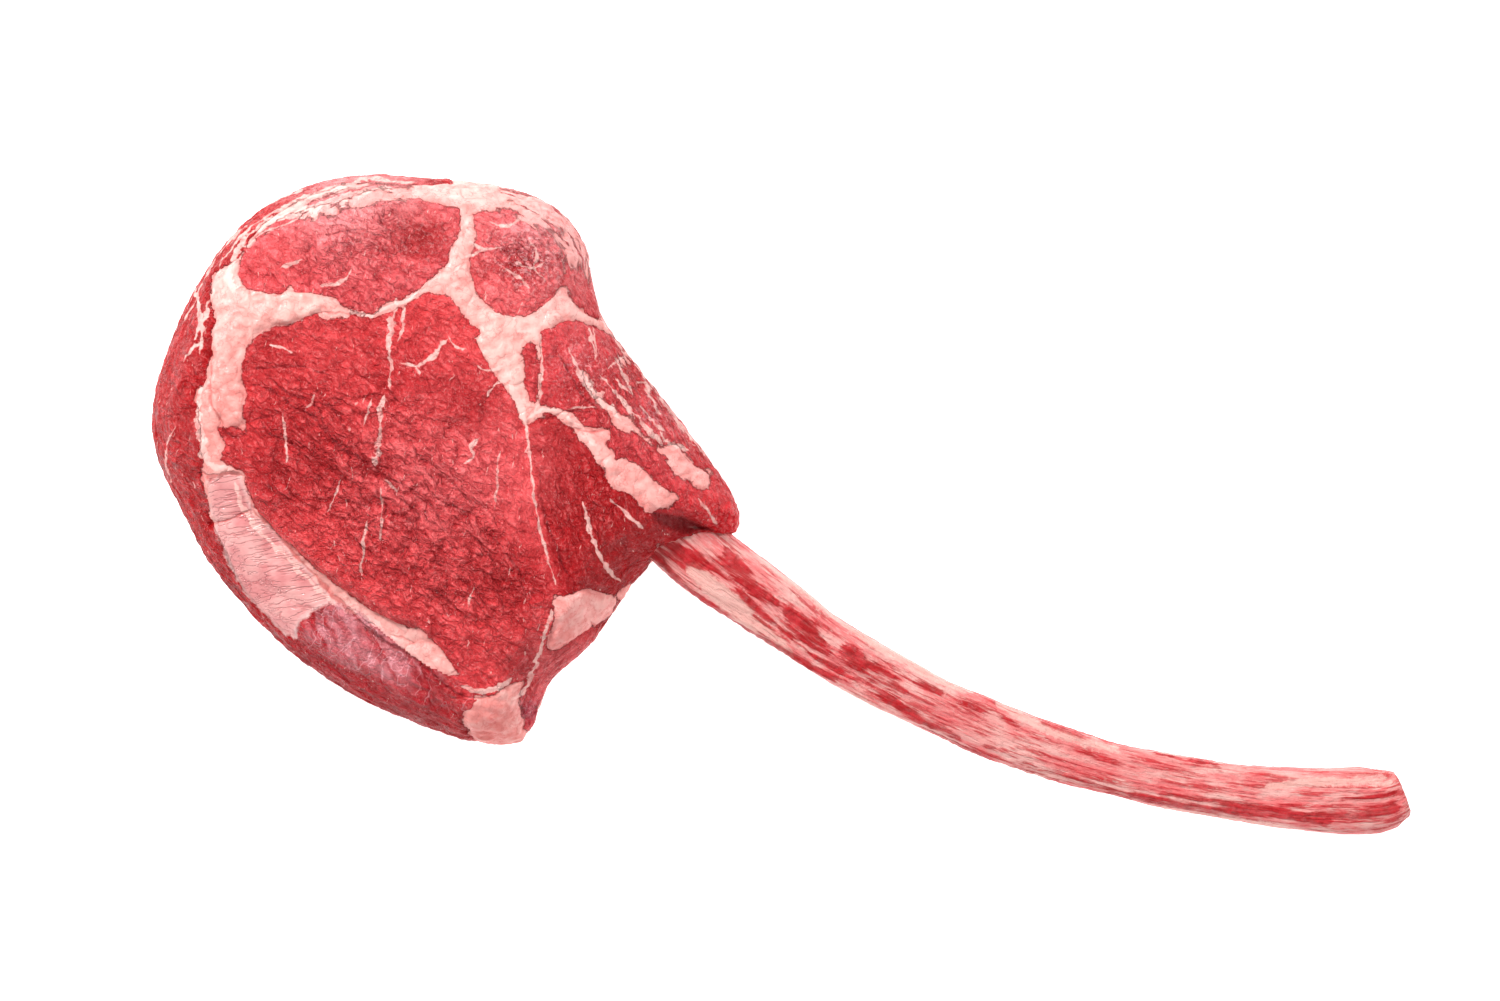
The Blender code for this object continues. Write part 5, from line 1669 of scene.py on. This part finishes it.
    def course(self, plan: np.ndarray) -> tuple[np.ndarray, np.ndarray]:
        """Measure where plan points lie along and beside the rib's line.

        Args:
            plan: The points, as rows of x and y.

        Returns:
            The way along the line, and the offset to its left.
        """
        rows = smooth_line(self.line, self.line_step)
        start, run = rows[:-1], np.diff(rows, axis=0)
        length = np.linalg.norm(run, axis=1)
        walked = np.concatenate([[0], np.cumsum(length)])[:-1]
        points = plan[:, None, :]
        sideways = points - start
        share = np.sum(sideways * run, axis=2) / length**2
        held = np.clip(share, 0, 1)
        distance = np.linalg.norm(points - (start + run * held[..., None]), axis=2)
        best = np.argmin(distance, axis=1)
        pick = (np.arange(len(plan)), best)
        left = (run[:, 0] * sideways[..., 1] - run[:, 1] * sideways[..., 0]) / length
        return walked[best] + share[pick] * length[best], left[pick]


@dataclass
class Studio:
    """The floor, the soft lamps and the camera over the steak."""

    floor_side: float = 6.0
    floor_level: float = -0.0004
    camera_place: Row = (-0.01328, 0.00231, 1.4)
    frame_width: float = 0.5775
    frame_level: float = 0.025
    sensor: float = 36.0
    room_glow: float = 0.25
    aim: Row = (-0.08, 0.0, 0.0)
    lamps: tuple[tuple[str, Row, float, float], ...] = (
        ("left_lamp", (-0.9, 0.85, 0.95), 0.36, 27.0),
        ("right_lamp", (0.95, 0.6, 0.95), 0.34, 8.0),
        ("front_lamp", (0.1, -1.0, 0.95), 0.4, 5.0),
    )

    def build(self) -> None:
        """Set the whole studio up."""
        self.lay_floor()
        self.hang_lamps()
        self.mount_camera()

    def lay_floor(self) -> None:
        """Lay the white floor that the steak rests on."""
        mesh = bpy.data.meshes.new("floor")
        with opened(mesh) as form:
            bmesh.ops.create_grid(form, x_segments=2, y_segments=2, size=self.floor_side / 2)
            bmesh.ops.translate(form, verts=form.verts, vec=(0, 0, self.floor_level))
        mesh.materials.append(FloorFinish("white_floor").wire())
        floor = bpy.data.objects.new("floor", mesh)
        bpy.context.scene.collection.objects.link(floor)

    def hang_lamps(self) -> None:
        """Hang three soft lamps round the steak, in a dim white room."""
        for name, spot, side, power in self.lamps:
            self.lamp(name, spot, side, power)
        world = bpy.data.worlds.new("white_room")
        world.use_nodes = True
        backdrop = world.node_tree.nodes["Background"]
        backdrop.inputs["Strength"].default_value = self.room_glow
        backdrop.inputs["Color"].default_value = (1.0, 1.0, 1.0, 1.0)
        bpy.context.scene.world = world

    def lamp(self, name: str, spot: Row, side: float, power: float) -> None:
        """Hang a square lamp that faces the steak.

        Args:
            name: The lamp's name.
            spot: Where it hangs, in metres.
            side: The length of its side, in metres.
            power: Its power in watts.
        """
        light = bpy.data.lights.new(name, "AREA")
        light.shape = "SQUARE"
        light.size = side
        light.energy = power
        holder = bpy.data.objects.new(name, light)
        holder.location = spot
        aim = Vector(self.aim) - Vector(spot)
        holder.rotation_euler = aim.to_track_quat("-Z", "Y").to_euler()
        holder.visible_camera = False
        bpy.context.scene.collection.objects.link(holder)

    def mount_camera(self) -> None:
        """Mount the camera straight above the steak, as in the photograph."""
        view = bpy.data.cameras.new("overhead")
        view.sensor_width = self.sensor
        view.lens = self.sensor * (self.camera_place[2] - self.frame_level) / self.frame_width
        view.clip_start = 0.01
        camera = bpy.data.objects.new("overhead", view)
        camera.location = self.camera_place
        bpy.context.scene.collection.objects.link(camera)
        bpy.context.scene.camera = camera
        bpy.context.scene.view_settings.view_transform = "Standard"


def report(piece: bpy.types.Object) -> None:
    """Log a piece's name and size.

    Args:
        piece: The piece.
    """
    places = corners(piece.data)
    low, high = places.min(axis=0), places.max(axis=0)
    triangles = sum(len(polygon.vertices) - 2 for polygon in piece.data.polygons)
    size = " x ".join(f"{side:.1f}" for side in high - low)
    LOG.info("%s: %s mm, %d triangles", piece.name, size, triangles)


def main() -> None:
    """Dress the steak and its rib, set the studio up, and keep the sizes."""
    logging.basicConfig(level=logging.INFO, format="%(name)s: %(message)s")
    steak = SteakSkin()
    meat = steak.build()
    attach(meat, "root")
    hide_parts("seam_fat", *MUSCLES)
    report(meat)
    rib = RibSkin()
    bone = rib.build()
    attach(bone, "root")
    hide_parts("rib_bone")
    report(bone)
    Studio().build()


if __name__ == "__main__":
    main()
